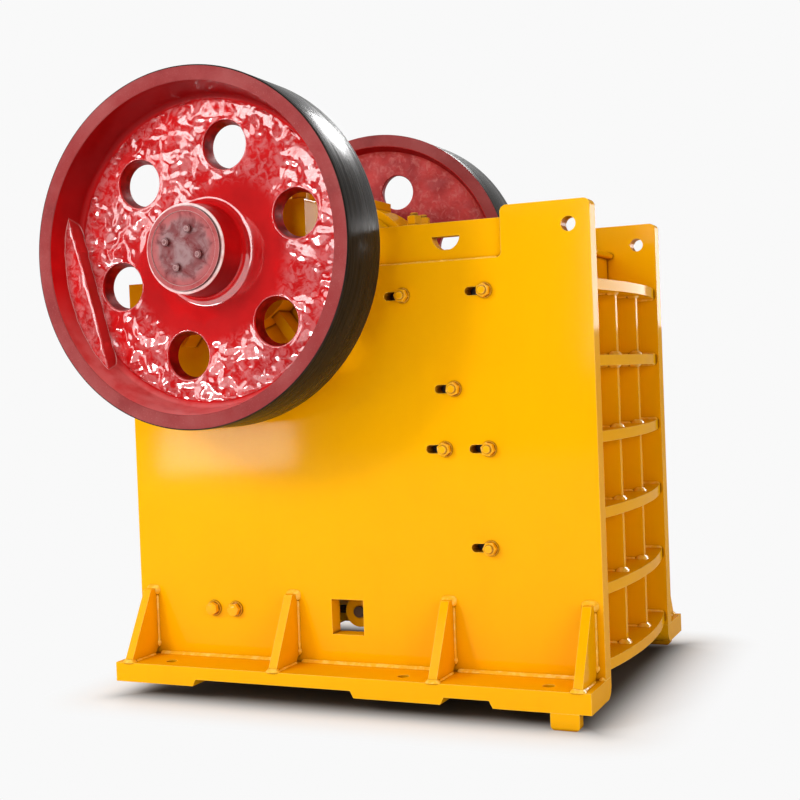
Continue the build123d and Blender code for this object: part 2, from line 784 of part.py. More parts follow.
def toggle_seats():
    """The front seat in the pitman and the rear one on the toggle beam, grooved for the toggle's ends."""
    width = toggle_half_width
    rear_low = toggle_rear_z - seat_height / 2
    rear_high = toggle_rear_z + seat_height / 2
    front = block(seat_back - seat_depth, seat_back, -width, width, seat_low, seat_high)
    rear = block(toggle_rear_x - seat_depth, toggle_rear_x, -width, width, rear_low, rear_high)
    front -= disc(toggle_front_x, toggle_front_z, toggle_end_radius, -half_width, half_width)
    rear -= disc(toggle_rear_x, toggle_rear_z, toggle_end_radius, -half_width, half_width)
    return front, rear


def toggle_plate():
    """The plate between the two seats, with rounded ends that roll in their grooves."""
    run_x = toggle_front_x - toggle_rear_x
    run_z = toggle_front_z - toggle_rear_z
    angle = math.degrees(math.atan2(run_z, run_x))
    middle = Pos((toggle_front_x + toggle_rear_x) / 2, (toggle_front_z + toggle_rear_z) / 2)
    profile = middle * Rot(0, 0, angle) * Rectangle(math.hypot(run_x, run_z), toggle_thickness)
    for x, z in ((toggle_front_x, toggle_front_z), (toggle_rear_x, toggle_rear_z)):
        profile += Pos(x, z) * Circle(toggle_end_radius - fit_gap)
    return slab(profile, -toggle_half_width, toggle_half_width)


def toggle_beam():
    """The hollow cross beam between the side walls that carries the rear toggle seat."""
    centre = Pos(rear_plate_front + toggle_beam_depth / 2, toggle_rear_z)
    hollow_depth = toggle_beam_depth - 2 * beam_plate_thickness
    hollow_height = toggle_beam_height - 2 * beam_plate_thickness
    profile = Rectangle(toggle_beam_depth, toggle_beam_height) - Rectangle(hollow_depth, hollow_height)
    return slab(centre * profile, -inner_y, inner_y)


def spring_beam():
    """The solid cross beam that the tension springs push against."""
    low = beam_bolt_z - spring_beam_height / 2
    beam = block(spring_beam_rear, spring_beam_front, -inner_y, inner_y, low, low + spring_beam_height)
    for y in (-eye_y, eye_y):
        hole = Pos(spring_beam_rear, y, pin_z) * Rot(0, 90, 0)
        beam -= hole * Cylinder(rod_diameter / 2 + fit_gap, frame_length)
    return beam


def along_rod(shape_outline, x0, x1):
    """A piece of the right tension rod's assembly: a section drawn across the rod, from x0 to x1."""
    face_plane = Plane(origin=(x0, -eye_y, pin_z), x_dir=(0, 1, 0), z_dir=(1, 0, 0))
    return extrude(face_plane * shape_outline, amount=x1 - x0)


def tension_rod():
    """One tension rod: an eye on the pitman's pin, the rod, and the nut and plate behind the spring."""
    half_eye = rod_eye_width / 2 - rod_eye_play
    eye = disc(pin_x, pin_z, rod_eye_radius, -eye_y - half_eye, -eye_y + half_eye)
    rod = along_rod(Circle(rod_diameter / 2), rod_rear, pin_x - rod_eye_radius / 2)
    plate = along_rod(Circle(spring_radius + spring_plate_lip), spring_plate_rear, spring_rear)
    hexagon = RegularPolygon(rod_nut_width / 2, 6, major_radius=False)
    nut = along_rod(hexagon, spring_plate_rear - rod_nut_height, spring_plate_rear)
    whole = eye + rod + plate + nut
    return whole - disc(pin_x, pin_z, pin_diameter / 2 + fit_gap, -half_width, 0)


def tension_spring():
    """One compression spring on the rod, drawn as a closed sleeve with a round ridge for each coil."""
    coils = int(spring_length // spring_wire)
    pitch = spring_length / coils
    inner = rod_diameter / 2 + spring_inner_gap
    wall = spring_radius - spring_ridge - inner
    profile = Pos(inner + wall / 2, spring_length / 2) * Rectangle(wall, spring_length)
    for index in range(coils):
        profile += Pos(spring_radius - spring_wire / 2, (index + 1 / 2) * pitch) * Circle(spring_wire / 2)
    return Pos(spring_rear, -eye_y, pin_z) * Rot(0, 0, -90) * revolve(profile, Axis.Y)


def lug_pin():
    """The pin that holds one rod's eye between two lugs of the pitman."""
    outer_end = pitman_half_width + pin_end
    inner_end = inner_lug_y - pitman_rib_half - pin_end
    return disc(pin_x, pin_z, pin_diameter / 2, -outer_end, -inner_end)


def swing_jaw_wedge():
    """The bar that clamps the top of the swing jaw plate to the pitman."""
    bar = block(
        -jaw_thickness,
        -jaw_thickness + wedge_thickness,
        -jaw_half_width,
        jaw_half_width,
        swing_jaw_length + fit_gap,
        swing_jaw_length + wedge_height,
    )
    return leaning(bar)


def front_wall():
    """The plate that carries the fixed jaw plate, with the ledge the jaw plate stands on."""
    plate = block(front_back, front_face, -inner_y, inner_y, front_wall_bottom, front_wall_top)
    ledge = block(
        front_back - jaw_base_thickness, front_back, -jaw_half_width, jaw_half_width,
        jaw_bottom - ledge_thickness, jaw_bottom,
    )
    return plate + ledge


def top_flange():
    """The level plate along the top of the front wall, rounded along its free edge."""
    edge_x = front_face + top_flange_overhang
    high = front_wall_top + top_flange_thickness
    profile = outline([
        (front_back, front_wall_top),
        (edge_x, front_wall_top),
        (edge_x, high),
        (front_back, high),
    ])
    profile = fillet(nearest(profile, [(edge_x, front_wall_top), (edge_x, high)]), top_flange_edge_radius)
    return slab(profile, -inner_y, inner_y)


def rear_ribs():
    """Level straight ribs behind the rear wall plate, in line with those of the front."""
    solids = []
    for index in range(rear_rib_count):
        top = rib_first_top + rib_spacing * index
        solids.append(block(rear_rib_setback, rear_recess, -inner_y, inner_y, top - rib_thickness, top))
    return solids


def make_frame():
    """The welded frame."""
    add_both("side_wall", side_wall())
    add_both("upper_panel", upper_panel())
    add_both("base_flange", base_flange())
    add_both("gussets", *gussets())
    add_pairs("locating_lugs", locating_lug())
    add("front_wall", front_wall())
    add("front_top_flange", top_flange())
    add("front_ribs", *front_ribs())
    add("front_stiffeners", *stiffeners(front_face, frame_length - stiffener_setback, front_rib_count))
    rear_top = rib_first_top + rib_spacing * (rear_rib_count - 1)
    add("rear_wall", block(rear_recess, rear_plate_front, -inner_y, inner_y, front_wall_bottom, rear_top))
    add("rear_ribs", *rear_ribs())
    add("rear_stiffeners", *stiffeners(rear_rib_setback, rear_recess, rear_rib_count))


def make_chamber():
    """The wear plates of the crushing chamber and their bolts."""
    add("fixed_jaw_plate", fixed_jaw_plate())
    add("swing_jaw_plate", swing_jaw_plate())
    add("swing_jaw_wedge", swing_jaw_wedge())
    add_both("cheek_plate", cheek_plate())
    add_pairs("cheek_bolts", *cheek_bolts())


def make_toggle_gear():
    """The pitman and everything that holds its lower end."""
    front_seat, rear_seat = toggle_seats()
    add("pitman", pitman())
    add("toggle_plate", toggle_plate())
    add("toggle_seats", front_seat, rear_seat)
    add("toggle_beam", toggle_beam())
    add("spring_beam", spring_beam())
    add_pairs("spring_beam_bolts", *spring_beam_bolts())
    add_pairs("tension_rods", tension_rod())
    add_pairs("tension_springs", tension_spring())
    add_pairs("tension_rod_pins", lug_pin())


def make_bearings():
    """The bearing housings and what closes and holds them."""
    add_both("bearing_housing", housing_body())
    add_both("bearing_cap", bearing_cap())
    add_pairs("cap_bolts", *cap_bolts())
    add_pairs("bearing_brackets", *bearing_brackets())
    add_pairs("main_bearings", main_bearing())
    add_both("bearing_covers", *bearing_covers())


def make_rotor():
    """The shaft and what turns with it."""
    add("eccentric_shaft", eccentric_shaft())
    add_both("flywheel", flywheel())
    add_both("hub_cap", hub_cap())


def write_all():
    """Write each named piece to its own file."""
    make_frame()
    make_chamber()
    make_toggle_gear()
    make_bearings()
    make_rotor()
    os.makedirs("parts", exist_ok=True)
    for name, shape in nodes.items():
        export_step(shape, "parts/" + name + ".step")


write_all()
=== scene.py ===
import json
import math

import bmesh
import bpy
from mathutils import Matrix, Vector, noise


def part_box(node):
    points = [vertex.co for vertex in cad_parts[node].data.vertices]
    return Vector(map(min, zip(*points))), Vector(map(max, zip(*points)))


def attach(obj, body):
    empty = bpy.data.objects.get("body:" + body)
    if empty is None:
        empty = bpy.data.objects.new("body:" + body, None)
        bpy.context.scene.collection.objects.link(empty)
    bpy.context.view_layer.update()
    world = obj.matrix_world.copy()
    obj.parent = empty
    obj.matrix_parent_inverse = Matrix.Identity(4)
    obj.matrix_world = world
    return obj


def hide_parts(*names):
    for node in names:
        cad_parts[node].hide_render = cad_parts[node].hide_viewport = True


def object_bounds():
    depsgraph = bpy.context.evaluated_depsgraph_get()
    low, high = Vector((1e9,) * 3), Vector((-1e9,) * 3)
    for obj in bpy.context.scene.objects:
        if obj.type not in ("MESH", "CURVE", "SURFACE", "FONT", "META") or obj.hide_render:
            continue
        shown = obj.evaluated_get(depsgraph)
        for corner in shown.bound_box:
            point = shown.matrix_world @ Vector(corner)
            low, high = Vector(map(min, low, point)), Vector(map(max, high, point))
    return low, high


# Looks of a stationary jaw crusher: yellow welded frame, red enamelled flywheels with dark turned rims.
# Lengths are in metres, in the row's frame: X to the ribbed front, Y to the left side, Z up.

SIDES = (("right", -1), ("left", 1))
UP = Vector((0, 0, 1))
FRONT = Vector((1, 0, 0))

# Camera of the photograph
CAMERA_PLACE = Vector((2.21395, -5.07706, 1.21297))
CAMERA_RIGHT = Vector((0.91360, 0.40483, -0.03820))
CAMERA_UP = Vector((0.02664, 0.03416, 0.99906))
CAMERA_LENS = 58.06
SENSOR_WIDTH = 36.0

# Paints and metals, linear colours
YELLOW = (0.93, 0.44, 0.001, 1)
YELLOW_DEEP = (0.87, 0.36, 0.0007, 1)
# Pale yellow for worn edges, and for painted highlights on edges, weld beads and bolts
YELLOW_WEAR_AND_HIGHLIGHT = (1.0, 0.7, 0.13, 1)
# Dark brown for painted shade in corners and round narrow joints
YELLOW_PAINTED_SHADE = (0.24, 0.07, 0.0005, 1)
RED = (0.62, 0.0055, 0.007, 1)
RED_DEEP = (0.4, 0.003, 0.004, 1)
# Pale pink for a painted highlight along the edges of smooth enamel
RED_HIGHLIGHT = (0.85, 0.42, 0.42, 1)
RED_DUST = (0.7, 0.17, 0.17, 1)
# Near-black red for painted shade in corners and down the sides of the hub cap and its screws
RED_PAINTED_SHADE = (0.09, 0.001, 0.0014, 1)
# Pale pink for a painted sheen over the rough casting
RED_PAINTED_SHEEN = (0.76, 0.33, 0.34, 1)
SHADED_RED = (0.33, 0.0035, 0.005, 1)
SHADED_RED_DARK = (0.14, 0.0015, 0.002, 1)
DULL_RED = (0.53, 0.057, 0.057, 1)
DULL_RED_DEEP = (0.31, 0.026, 0.028, 1)
DULL_RED_PALE = (0.62, 0.19, 0.18, 1)
# Pale pink and white of the hub's end round its cap: a painted highlight
COLLAR_HIGHLIGHT = (0.88, 0.7, 0.69, 1)
COLLAR_HIGHLIGHT_PINK = (0.8, 0.4, 0.4, 1)
DUSTY_RED = (0.255, 0.027, 0.028, 1)
DUSTY_PALE = (0.31, 0.06, 0.059, 1)
DUSTY_DARK = (0.15, 0.016, 0.017, 1)
# Pale specks on a rim's face, and a painted highlight along its edges
DUSTY_SPECK_AND_HIGHLIGHT = (0.56, 0.26, 0.25, 1)
CAP_RED = (0.19, 0.042, 0.045, 1)
CAP_GREY = (0.3, 0.175, 0.18, 1)
CAP_DARK = (0.09, 0.019, 0.021, 1)
CAP_BORDER = (0.43, 0.07, 0.072, 1)
# Pale pink for a painted highlight along the edges of a hub cap and its screws
CAP_HIGHLIGHT = (0.76, 0.48, 0.47, 1)
TREAD_DARK = (0.008, 0.007, 0.006, 1)
TREAD_LIGHT = (0.034, 0.03, 0.026, 1)
STEEL = (0.36, 0.35, 0.34, 1)
STEEL_DARK = (0.13, 0.125, 0.12, 1)
MANGANESE = (0.095, 0.085, 0.078, 1)
MANGANESE_WORN = (0.3, 0.285, 0.27, 1)
OILED = (0.035, 0.033, 0.032, 1)
OILED_BROWN = (0.095, 0.06, 0.038, 1)
FLOOR_WHITE = (0.9, 0.9, 0.9, 1)
FLOOR_SHADE = (0.12, 0.11, 0.1, 1)
BACKDROP = (0.947, 0.947, 0.947, 1)

# Levels of a noise that most of its values lie between, and a narrower pair
MOST = (0.30, 0.70)
UPPER = (0.35, 0.70)
# Levels of a painted-shade mask for a narrow corner, from open to deep
NARROW = (0.95, 0.55)

# Sections of the flywheels; depths run inwards from a wheel's outer face
BORE_RADIUS = 0.1003
HUB_RADIUS = 0.170
HUB_FOOT_RADIUS = 0.180
HUB_SHORT = 0.005
HUB_FILLET = 0.034
COLLAR_DEPTH = 0.006
WEB_RADIUS = 0.597
WEB_DEPTH = 0.148
WEB_BACK = 0.208
RIM_INNER = 0.623
RIM_FILLET = 0.026
RIM_ROUNDING = 0.005
EDGE_ROUNDING = 0.004
LARGE_ARC = 0.010
LARGE_ARC_STEPS = 6
SMALL_ARC_STEPS = 3

# Holes of the flywheels. Each step of the lip is a share of its width and a depth below the web's face.
HOLE_COUNT = 6
HOLE_START = 16.0
HOLE_CIRCLE = 0.409
HOLE_RADIUS = 0.0925
HOLE_DRAFT = 0.010
HOLE_STEPS = 72
LIP_WIDTH = 0.005
LIP = ((1.6, -0.004), (0.7, 0.0005), (0.2, 0.003), (0.0, 0.008))
CUTTER_REACH = 0.060

# Cast segment inside the rim, which balances the wheel
WEIGHT_TURN = 195.0
WEIGHT_ACROSS = 0.100
WEIGHT_GAP = 0.007
WEIGHT_HEIGHT = 0.070
WEIGHT_SUNK = 0.014
WEIGHT_ROUNDING = 0.004
WEIGHT_STEPS = 64
WEIGHT_ROWS = 18

# Points of the wheels' meshes: how many round a ring, and the longest run between rings on a kind of surface
WHEEL_STEPS = 448
RING_STEPS = {"web": 0.0056, "back": 0.014, "smooth": 0.022}

# Skin of the castings: the height of its waves, and the scale and share of each kind of wrinkle. Its rough
# part starts at a distance from the shaft, which is shorter towards one side, and has calm patches.
CAST_WAVE = 0.0080
WAVES = {"web": CAST_WAVE, "back": 0.45 * CAST_WAVE, "smooth": 0.00018}
WARP_SCALE, WARP, WARP_SEED = 11.0, 0.014, 1
BROAD_SCALE, BROAD = 19.0, 0.85
CREASE_SCALE, CREASE = 14.0, 0.55
SMALL_SCALE, SMALL = 40.0, 0.20
CREASE_OFFSET = Vector((5.0, 2.0, 9.0))
CALM_OFFSET = Vector((17.4, 1.1, 1.3))
CALM_SCALE = 4.3
CALM_LEVELS = (-0.58, -0.22)
LEAST_WAVE = 0.05
ROUGH_START = 0.345
ROUGH_REACH = 0.150
ROUGH_TURN = math.radians(116.0)
ROUGH_SIDE = Vector((math.cos(ROUGH_TURN), 0.0, math.sin(ROUGH_TURN)))
ROUGH_LEVELS = (-0.035, 0.045)
HOLE_LEVELS = (0.004, 0.024)
WHEEL_SEEDS = {"right": Vector((0.0, 0.0, 0.0)), "left": Vector((3.1, 7.7, 1.3))}

# Bolts and screws: hexagon across flats, washer, and the bolt's end that stands out; how far each bolt of a
# node is turned on from the one before
CHEEK_BOLT = {
    "flats": 0.046, "height": 0.024, "washer": 0.058, "washer_thickness": 0.005,
    "bolt": 0.030, "bolt_end": 0.009,
}
SPRING_BEAM_BOLT = {"flats": 0.046, "height": 0.024, "washer": 0.062, "washer_thickness": 0.006}
CAP_BOLT = {"flats": 0.060, "height": 0.046, "bolt": 0.039, "bolt_end": 0.014}
HUB_CAP_SCREW = {"flats": 0.015, "height": 0.002, "washer": 0.028, "washer_thickness": 0.018}
BOLT_GROUPS = (
    ("cheek_bolts", CHEEK_BOLT, 0.9),
    ("spring_beam_bolts", SPRING_BEAM_BOLT, 1.3),
    ("cap_bolts", CAP_BOLT, 0.7),
)
HUB_CAP_SCREW_CIRCLE = 0.076
HUB_CAP_SCREW_TURNS = (69.0, 159.0, 249.0, 339.0)
HUB_CAP_SCREW_SUNK = 0.003
FIRST_BOLT_TURN = 0.3
BOLT_STEPS = 48
HEXAGON_CHAMFER = 0.96
CHAMFER_SLOPE = math.tan(math.radians(28.0))
THREAD_RIDGE = 0.0022
BOLT_CHAMFER = 0.0025

# Weld beads: their ripples, how far they start from corners and wrap round ends, and their legs
BEAD_RIPPLE = 0.009
ROUGH_RIPPLE = 0.07
FINE_RIPPLE = 0.015
LEG_VARIATION = 0.14
LEG_SCALE = 38.0
COPE = 0.026
GUSSET_WRAP = 0.028
BAY_WRAP = 0.035
RIB_TAPER = 0.045
PANEL_SHORT = 0.020
GUSSET_LEG = 0.006
COPE_LEG = 0.011
TOE_LEG = 0.012
GUSSET_TOP_LEG = 0.015
WALL_LEG = 0.011
PANEL_LEG = 0.007
STEP_LEG = 0.006
BAY_LEG = 0.007
BAY_FOOT_LEG = 0.016
BAY_TOP_LEG = 0.010
RIB_END_LEG = 0.009
RIB_LEG = 0.008

# Light: the surroundings, and the panels before the machine. Each panel has its left and right angle from -Y
# towards -X in degrees, its lower and upper edge, and its radiance.
WORLD_LIGHT = 0.24
DARK_ROOM = 0.03
REAR_SHINE = 0.65
WARM = (1.0, 0.90, 0.76)
PANEL_DISTANCE = 5.5
PANEL_TARGET_Y = -0.85
PANELS = (
    (74, 60, 0.6, 5.2, 1.5),
    (57, 46, 0.6, 5.2, 2.1),
    (43, 20, 3.75, 5.9, 2.8),
    (19, 3, 2.6, 5.6, 2.8),
    (0, -16, 0.9, 5.2, 2.9),
    (40, 28.5, 0.46, 0.84, 20.0),
    (59, 58, 0.6, 5.2, 8.0),
    (2, 1, 1.2, 5.2, 10.0),
)

# Floor: half its length, and half the length and width of the ground under the machine that is painted dark as its
# shadow
FLOOR_REACH = 14.0
SHADE_LENGTH = 1.00
SHADE_WIDTH = 0.75

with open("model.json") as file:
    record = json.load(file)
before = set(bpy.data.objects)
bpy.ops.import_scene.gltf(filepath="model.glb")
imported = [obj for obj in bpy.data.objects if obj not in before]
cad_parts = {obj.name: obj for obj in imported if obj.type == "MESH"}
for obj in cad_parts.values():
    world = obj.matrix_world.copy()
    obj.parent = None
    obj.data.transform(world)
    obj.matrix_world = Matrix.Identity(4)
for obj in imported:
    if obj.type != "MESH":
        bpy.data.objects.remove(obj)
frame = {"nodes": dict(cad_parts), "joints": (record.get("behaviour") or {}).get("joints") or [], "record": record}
cad_low, cad_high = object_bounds()
nodes = frame["nodes"]
shaft = Vector(frame["joints"][0]["pos_m"])
# A fixed seed, so that every run warps the skin in the same way
noise.seed_set(WARP_SEED)


class Graph:
    """The shader nodes of a material or world, with short calls for the ones that the finishes share."""

    def __init__(self, owner, output="OutputMaterial"):
        owner.use_nodes = True
        self.owner = owner
        self.tree = owner.node_tree
        self.tree.nodes.clear()
        self.output = self.node(output)
        self.coords = self.node("TexCoord").outputs

    def node(self, kind, sockets=(), **settings):
        """A new node with its settings, and with values or links in its sockets."""
        made = self.tree.nodes.new("ShaderNode" + kind)
        for key, value in settings.items():
            setattr(made, key, value)
        for key, value in dict(sockets).items():
            self.feed(made.inputs[key], value)
        return made

    def feed(self, socket, value):
        """Link a socket to a socket, or set a plain value on it."""
        if isinstance(value, bpy.types.NodeSocket):
            self.tree.links.new(value, socket)
        else:
            socket.default_value = value

    def vector(self, operation, a, b=(0, 0, 0)):
        """What a vector operation makes of one or two vectors."""
        return self.node("VectorMath", {0: a, 1: b}, operation=operation).outputs

    def stretched(self, scale):
        """The object's coordinates, scaled by a vector."""
        return self.node("Mapping", {"Vector": self.coords["Object"], "Scale": scale}).outputs["Vector"]

    def noise(self, scale, detail=3.0, roughness=0.55, distortion=0.0, vector=None):
        sockets = {"Scale": scale, "Detail": detail, "Roughness": roughness, "Distortion": distortion}
        sockets["Vector"] = self.coords["Object"] if vector is None else vector
        return self.node("TexNoise", sockets).outputs["Fac"]

    def spread(self, value, low, high, to_low=0.0, to_high=1.0, smooth=True):
        """Spread the range from low to high of a value over another range."""
        sockets = {"Value": value, "From Min": low, "From Max": high, "To Min": to_low, "To Max": to_high}
        kind = "SMOOTHSTEP" if smooth else "LINEAR"
        return self.node("MapRange", sockets, interpolation_type=kind).outputs["Result"]

    def varied(self, scale, to_low, to_high, levels=MOST, **settings):
        """A noise of that scale, spread over a range between two of its levels."""
        return self.spread(self.noise(scale, **settings), *levels, to_low, to_high)

    def math(self, operation, a, b=0.0):
        return self.node("Math", {0: a, 1: b}, operation=operation).outputs[0]

    def times(self, a, b):
        return self.math("MULTIPLY", a, b)

    def cover(self, colour, top, mask, share=None):
        """A colour covered with another by a mask, or by a share of it, which may be a second mask."""
        factor = mask if share is None else self.times(mask, share)
        return self.node("Mix", {"Factor": factor, "A": colour, "B": top}, data_type="RGBA").outputs["Result"]

    def bump(self, height, distance, normal=None):
        sockets = {"Height": height, "Distance": distance}
        if normal is not None:
            sockets["Normal"] = normal
        return self.node("Bump", sockets).outputs["Normal"]

    def rounded(self, radius):
        """The surface's direction with its edges rounded, and a mask that is 1 along those edges."""
        bevelled = self.node("Bevel", {"Radius": radius}, samples=6).outputs["Normal"]
        plain = self.node("NewGeometry").outputs["Normal"]
        same = self.vector("DOT_PRODUCT", bevelled, plain)["Value"]
        return bevelled, self.spread(same, 0.995, 0.90)

    def painted_shade_mask(self, distance, open_end=0.75, deep_end=0.15):
        """A mask for painted shade, from ambient occlusion: 1 deep in corners and 0 on open faces."""
        hollow = self.node("AmbientOcclusion", {"Distance": distance}, samples=8).outputs["AO"]
        return self.spread(hollow, open_end, deep_end)

    def from_shaft(self):
        """The distance from the shaft's axis."""
        offset = self.vector("SUBTRACT", self.coords["Object"], shaft)["Vector"]
        flat = self.vector("MULTIPLY", offset, (1, 0, 1))["Vector"]
        return self.vector("LENGTH", flat)["Value"]

    def rough_cast(self):
        """A mask that is 1 where the casting's skin is rough, as in cast_relief."""
        offset = self.vector("SUBTRACT", self.coords["Object"], shaft)["Vector"]
        along = self.vector("DOT_PRODUCT", offset, ROUGH_SIDE)["Value"]
        radial = self.from_shaft()
        toward = self.math("MAXIMUM", self.math("DIVIDE", along, radial), 0.0)
        reach = self.times(self.times(toward, toward), ROUGH_REACH)
        beyond = self.math("ADD", self.math("SUBTRACT", radial, ROUGH_START), reach)
        return self.spread(beyond, -0.03, 0.06)

    def facing(self, axis):
        """How far the surface faces along an axis of the object, -1 to 1."""
        return self.node("SeparateXYZ", {0: self.coords["Normal"]}).outputs[axis]

    def surface(self, colour, roughness, normal, **fixed):
        """The shader of a finish, with values that are the same all over given by their sockets' names."""
        sockets = {name.replace("_", " "): value for name, value in fixed.items()}
        sockets.update({"Base Color": colour, "Roughness": roughness, "Normal": normal})
        shader = self.node("BsdfPrincipled", sockets)
        self.feed(self.output.inputs["Surface"], shader.outputs["BSDF"])
        return shader

    def choice(self, factor, first, second):
        """Show the second shader instead of the first, by a factor."""
        chosen = self.node("MixShader", {"Fac": factor, 1: first, 2: second}).outputs[0]
        self.feed(self.output.inputs["Surface"], chosen)


def material_graph(name):
    return Graph(bpy.data.materials.new(name))


def yellow_paint():
    """Satin yellow paint on plate: slight mottling, faint runs, pale edges that are partly wear and partly a
    painted highlight, painted shade in the corners.
    """
    g = material_graph("yellow_paint")
    normal, edge = g.rounded(0.003)
    patches = g.noise(1.7, detail=4.0)
    runs = g.varied(1.0, 0.0, 0.12, (0.45, 0.8), vector=g.stretched((16.0, 16.0, 0.9)))
    chips = g.varied(90.0, 0.45, 0.95, (0.35, 0.6), detail=4.0, roughness=0.7)
    tone = g.math("ADD", g.spread(patches, 0.35, 0.75, 0.0, 0.3), runs)
    colour = g.cover(YELLOW, YELLOW_DEEP, tone)
    # Pale edges broken by chips: wear, and a painted highlight
    colour = g.cover(colour, YELLOW_WEAR_AND_HIGHLIGHT, edge, chips)
    # Painted shade in corners, patchy, and painted dark outlines in narrow corners
    colour = g.cover(colour, YELLOW_PAINTED_SHADE, g.painted_shade_mask(0.09), g.varied(9.0, 0.35, 0.75))
    colour = g.cover(colour, YELLOW_PAINTED_SHADE, g.painted_shade_mask(0.014, *NARROW), 0.8)
    peel = g.bump(g.noise(260.0, detail=2.0), 0.00010, normal)
    waves = g.bump(g.noise(3.2, detail=1.0), 0.0014, peel)
    roughness = g.spread(patches, *MOST, 0.22, 0.30)
    g.surface(colour, roughness, waves, Specular_IOR_Level=0.0, Coat_Weight=0.18, Coat_Roughness=0.09)
    return g.owner


def weld_paint():
    """The same yellow paint over weld beads, glossier than on the plates, with pale patches as painted highlights
    and painted shade in corners.
    """
    g = material_graph("weld_paint")
    # Pale patches over the beads: painted highlight
    colour = g.cover(YELLOW, YELLOW_WEAR_AND_HIGHLIGHT, g.varied(40.0, 0.15, 0.75, (0.4, 0.7)))
    # Painted shade in the beads' corners
    colour = g.cover(colour, YELLOW_PAINTED_SHADE, g.painted_shade_mask(0.012), 0.6)
    normal = g.bump(g.noise(420.0), 0.0002)
    roughness = g.varied(60.0, 0.22, 0.34)
    g.surface(colour, roughness, normal, Specular_IOR_Level=0.0, Coat_Weight=0.7, Coat_Roughness=0.14)
    return g.owner


def bolt_paint():
    """The yellow paint on bolts and nuts, with painted highlights along the edges and painted shade at the feet.
    """
    g = material_graph("bolt_paint")
    normal, edge = g.rounded(0.0025)
    colour = g.cover(YELLOW, YELLOW_DEEP, g.varied(30.0, 0.0, 0.6, UPPER))
    # Pale edges: painted highlight; dark feet: painted shade
    colour = g.cover(colour, YELLOW_WEAR_AND_HIGHLIGHT, edge, 0.9)
    colour = g.cover(colour, YELLOW_PAINTED_SHADE, g.painted_shade_mask(0.016, *NARROW), 0.9)
    normal = g.bump(g.noise(300.0), 0.0002, normal)
    roughness = g.varied(60.0, 0.24, 0.36)
    g.surface(colour, roughness, normal, Specular_IOR_Level=0.0, Coat_Weight=0.5, Coat_Roughness=0.14)
    return g.owner


def red_enamel():
    """Thick glossy red enamel over a rough casting, with duller patches, a pale painted sheen where it is rough,
    and painted shade in corners.
    """
    g = material_graph("red_enamel")
    pools = g.noise(34.0, roughness=0.6, distortion=0.8)
    colour = g.cover(RED, RED_DEEP, g.varied(5.0, 0.0, 0.6, UPPER, detail=4.0))
    # A pale pink painted sheen over the rough part of the casting
    painted_sheen = g.times(g.spread(pools, 0.38, 0.66, 0.0, 0.42), g.varied(4.0, 0.0, 1.0, (0.30, 0.48), detail=2.0))
    colour = g.cover(colour, RED_PAINTED_SHEEN, painted_sheen, g.rough_cast())
    # Painted shade in corners
    colour = g.cover(colour, RED_PAINTED_SHADE, g.painted_shade_mask(0.05), 0.7)
    crinkle = g.bump(pools, 0.0012)
    grain = g.bump(g.noise(150.0), 0.0004, crinkle)
    roughness = g.varied(60.0, 0.16, 0.30, UPPER)
    shader = g.surface(colour, roughness, grain, Specular_IOR_Level=0.0, Coat_Roughness=0.09, Coat_IOR=2.8)
    g.feed(shader.inputs["Coat Weight"], g.varied(7.0, 0.55, 1.0, (0.34, 0.48)))
    return g.owner


def red_gloss():
    """The smooth enamel of the hub and the rim's inside: dust on top, painted shade underneath and in corners, a
    painted highlight along edges.
    """
    g = material_graph("red_gloss")
    normal, edge = g.rounded(0.006)
    colour = g.cover(RED, RED_DEEP, g.varied(6.0, 0.2, 0.8, UPPER, detail=4.0))
    dust = g.times(g.spread(g.facing("Z"), 0.1, 0.8), g.varied(9.0, 0.3, 0.75, (0.3, 0.6), detail=4.0))
    colour = g.cover(colour, RED_DUST, dust, g.spread(g.from_shaft(), 0.22, 0.45))
    # Darker on faces that look down: painted shade
    colour = g.cover(colour, SHADED_RED_DARK, g.spread(g.facing("Z"), 0.05, -0.60), 0.75)
    # Pale along edges: painted highlight
    colour = g.cover(colour, RED_HIGHLIGHT, edge, 0.85)
    # Painted shade in corners and in the hub's hollow
    colour = g.cover(colour, RED_PAINTED_SHADE, g.painted_shade_mask(0.16), 0.9)
    normal = g.bump(g.noise(14.0, detail=2.0), 0.0012, normal)
    normal = g.bump(g.noise(230.0, detail=2.0), 0.00012, normal)
    g.surface(colour, 0.34, normal, Specular_IOR_Level=0.05, Coat_Weight=0.12, Coat_Roughness=0.08)
    return g.owner


def hole_enamel():
    """The enamel on the wall of a hole, coloured as painted shade, with more painted shade in its corners."""
    g = material_graph("hole_enamel")
    colour = g.cover(SHADED_RED, SHADED_RED_DARK, g.varied(26.0, 0.0, 1.0, UPPER, detail=4.0))
    # Painted shade in the corners
    colour = g.cover(colour, RED_PAINTED_SHADE, g.painted_shade_mask(0.10), 0.8)
    normal = g.bump(g.noise(40.0, detail=4.0), 0.0008)
    g.surface(colour, g.varied(30.0, 0.4, 0.6), normal, Specular_IOR_Level=0.10)
    return g.owner


def dull_enamel():
    """The duller enamel on a web's inner side."""
    g = material_graph("dull_enamel")
    pools = g.noise(30.0, detail=4.0, roughness=0.65, distortion=0.8)
    colour = g.cover(DULL_RED, DULL_RED_DEEP, g.varied(6.0, 0.0, 1.0, UPPER, detail=4.0))
    colour = g.cover(colour, DULL_RED_PALE, g.spread(pools, 0.45, 0.72, 0.0, 0.55))
    # Painted shade in corners
    colour = g.cover(colour, RED_PAINTED_SHADE, g.painted_shade_mask(0.05), 0.7)
    crinkle = g.bump(pools, 0.0025)
    grain = g.bump(g.noise(150.0), 0.0004, crinkle)
    roughness = g.spread(pools, *MOST, 0.38, 0.55)
    g.surface(colour, roughness, grain, Specular_IOR_Level=0.10, Coat_Weight=0.22, Coat_Roughness=0.22)
    return g.owner


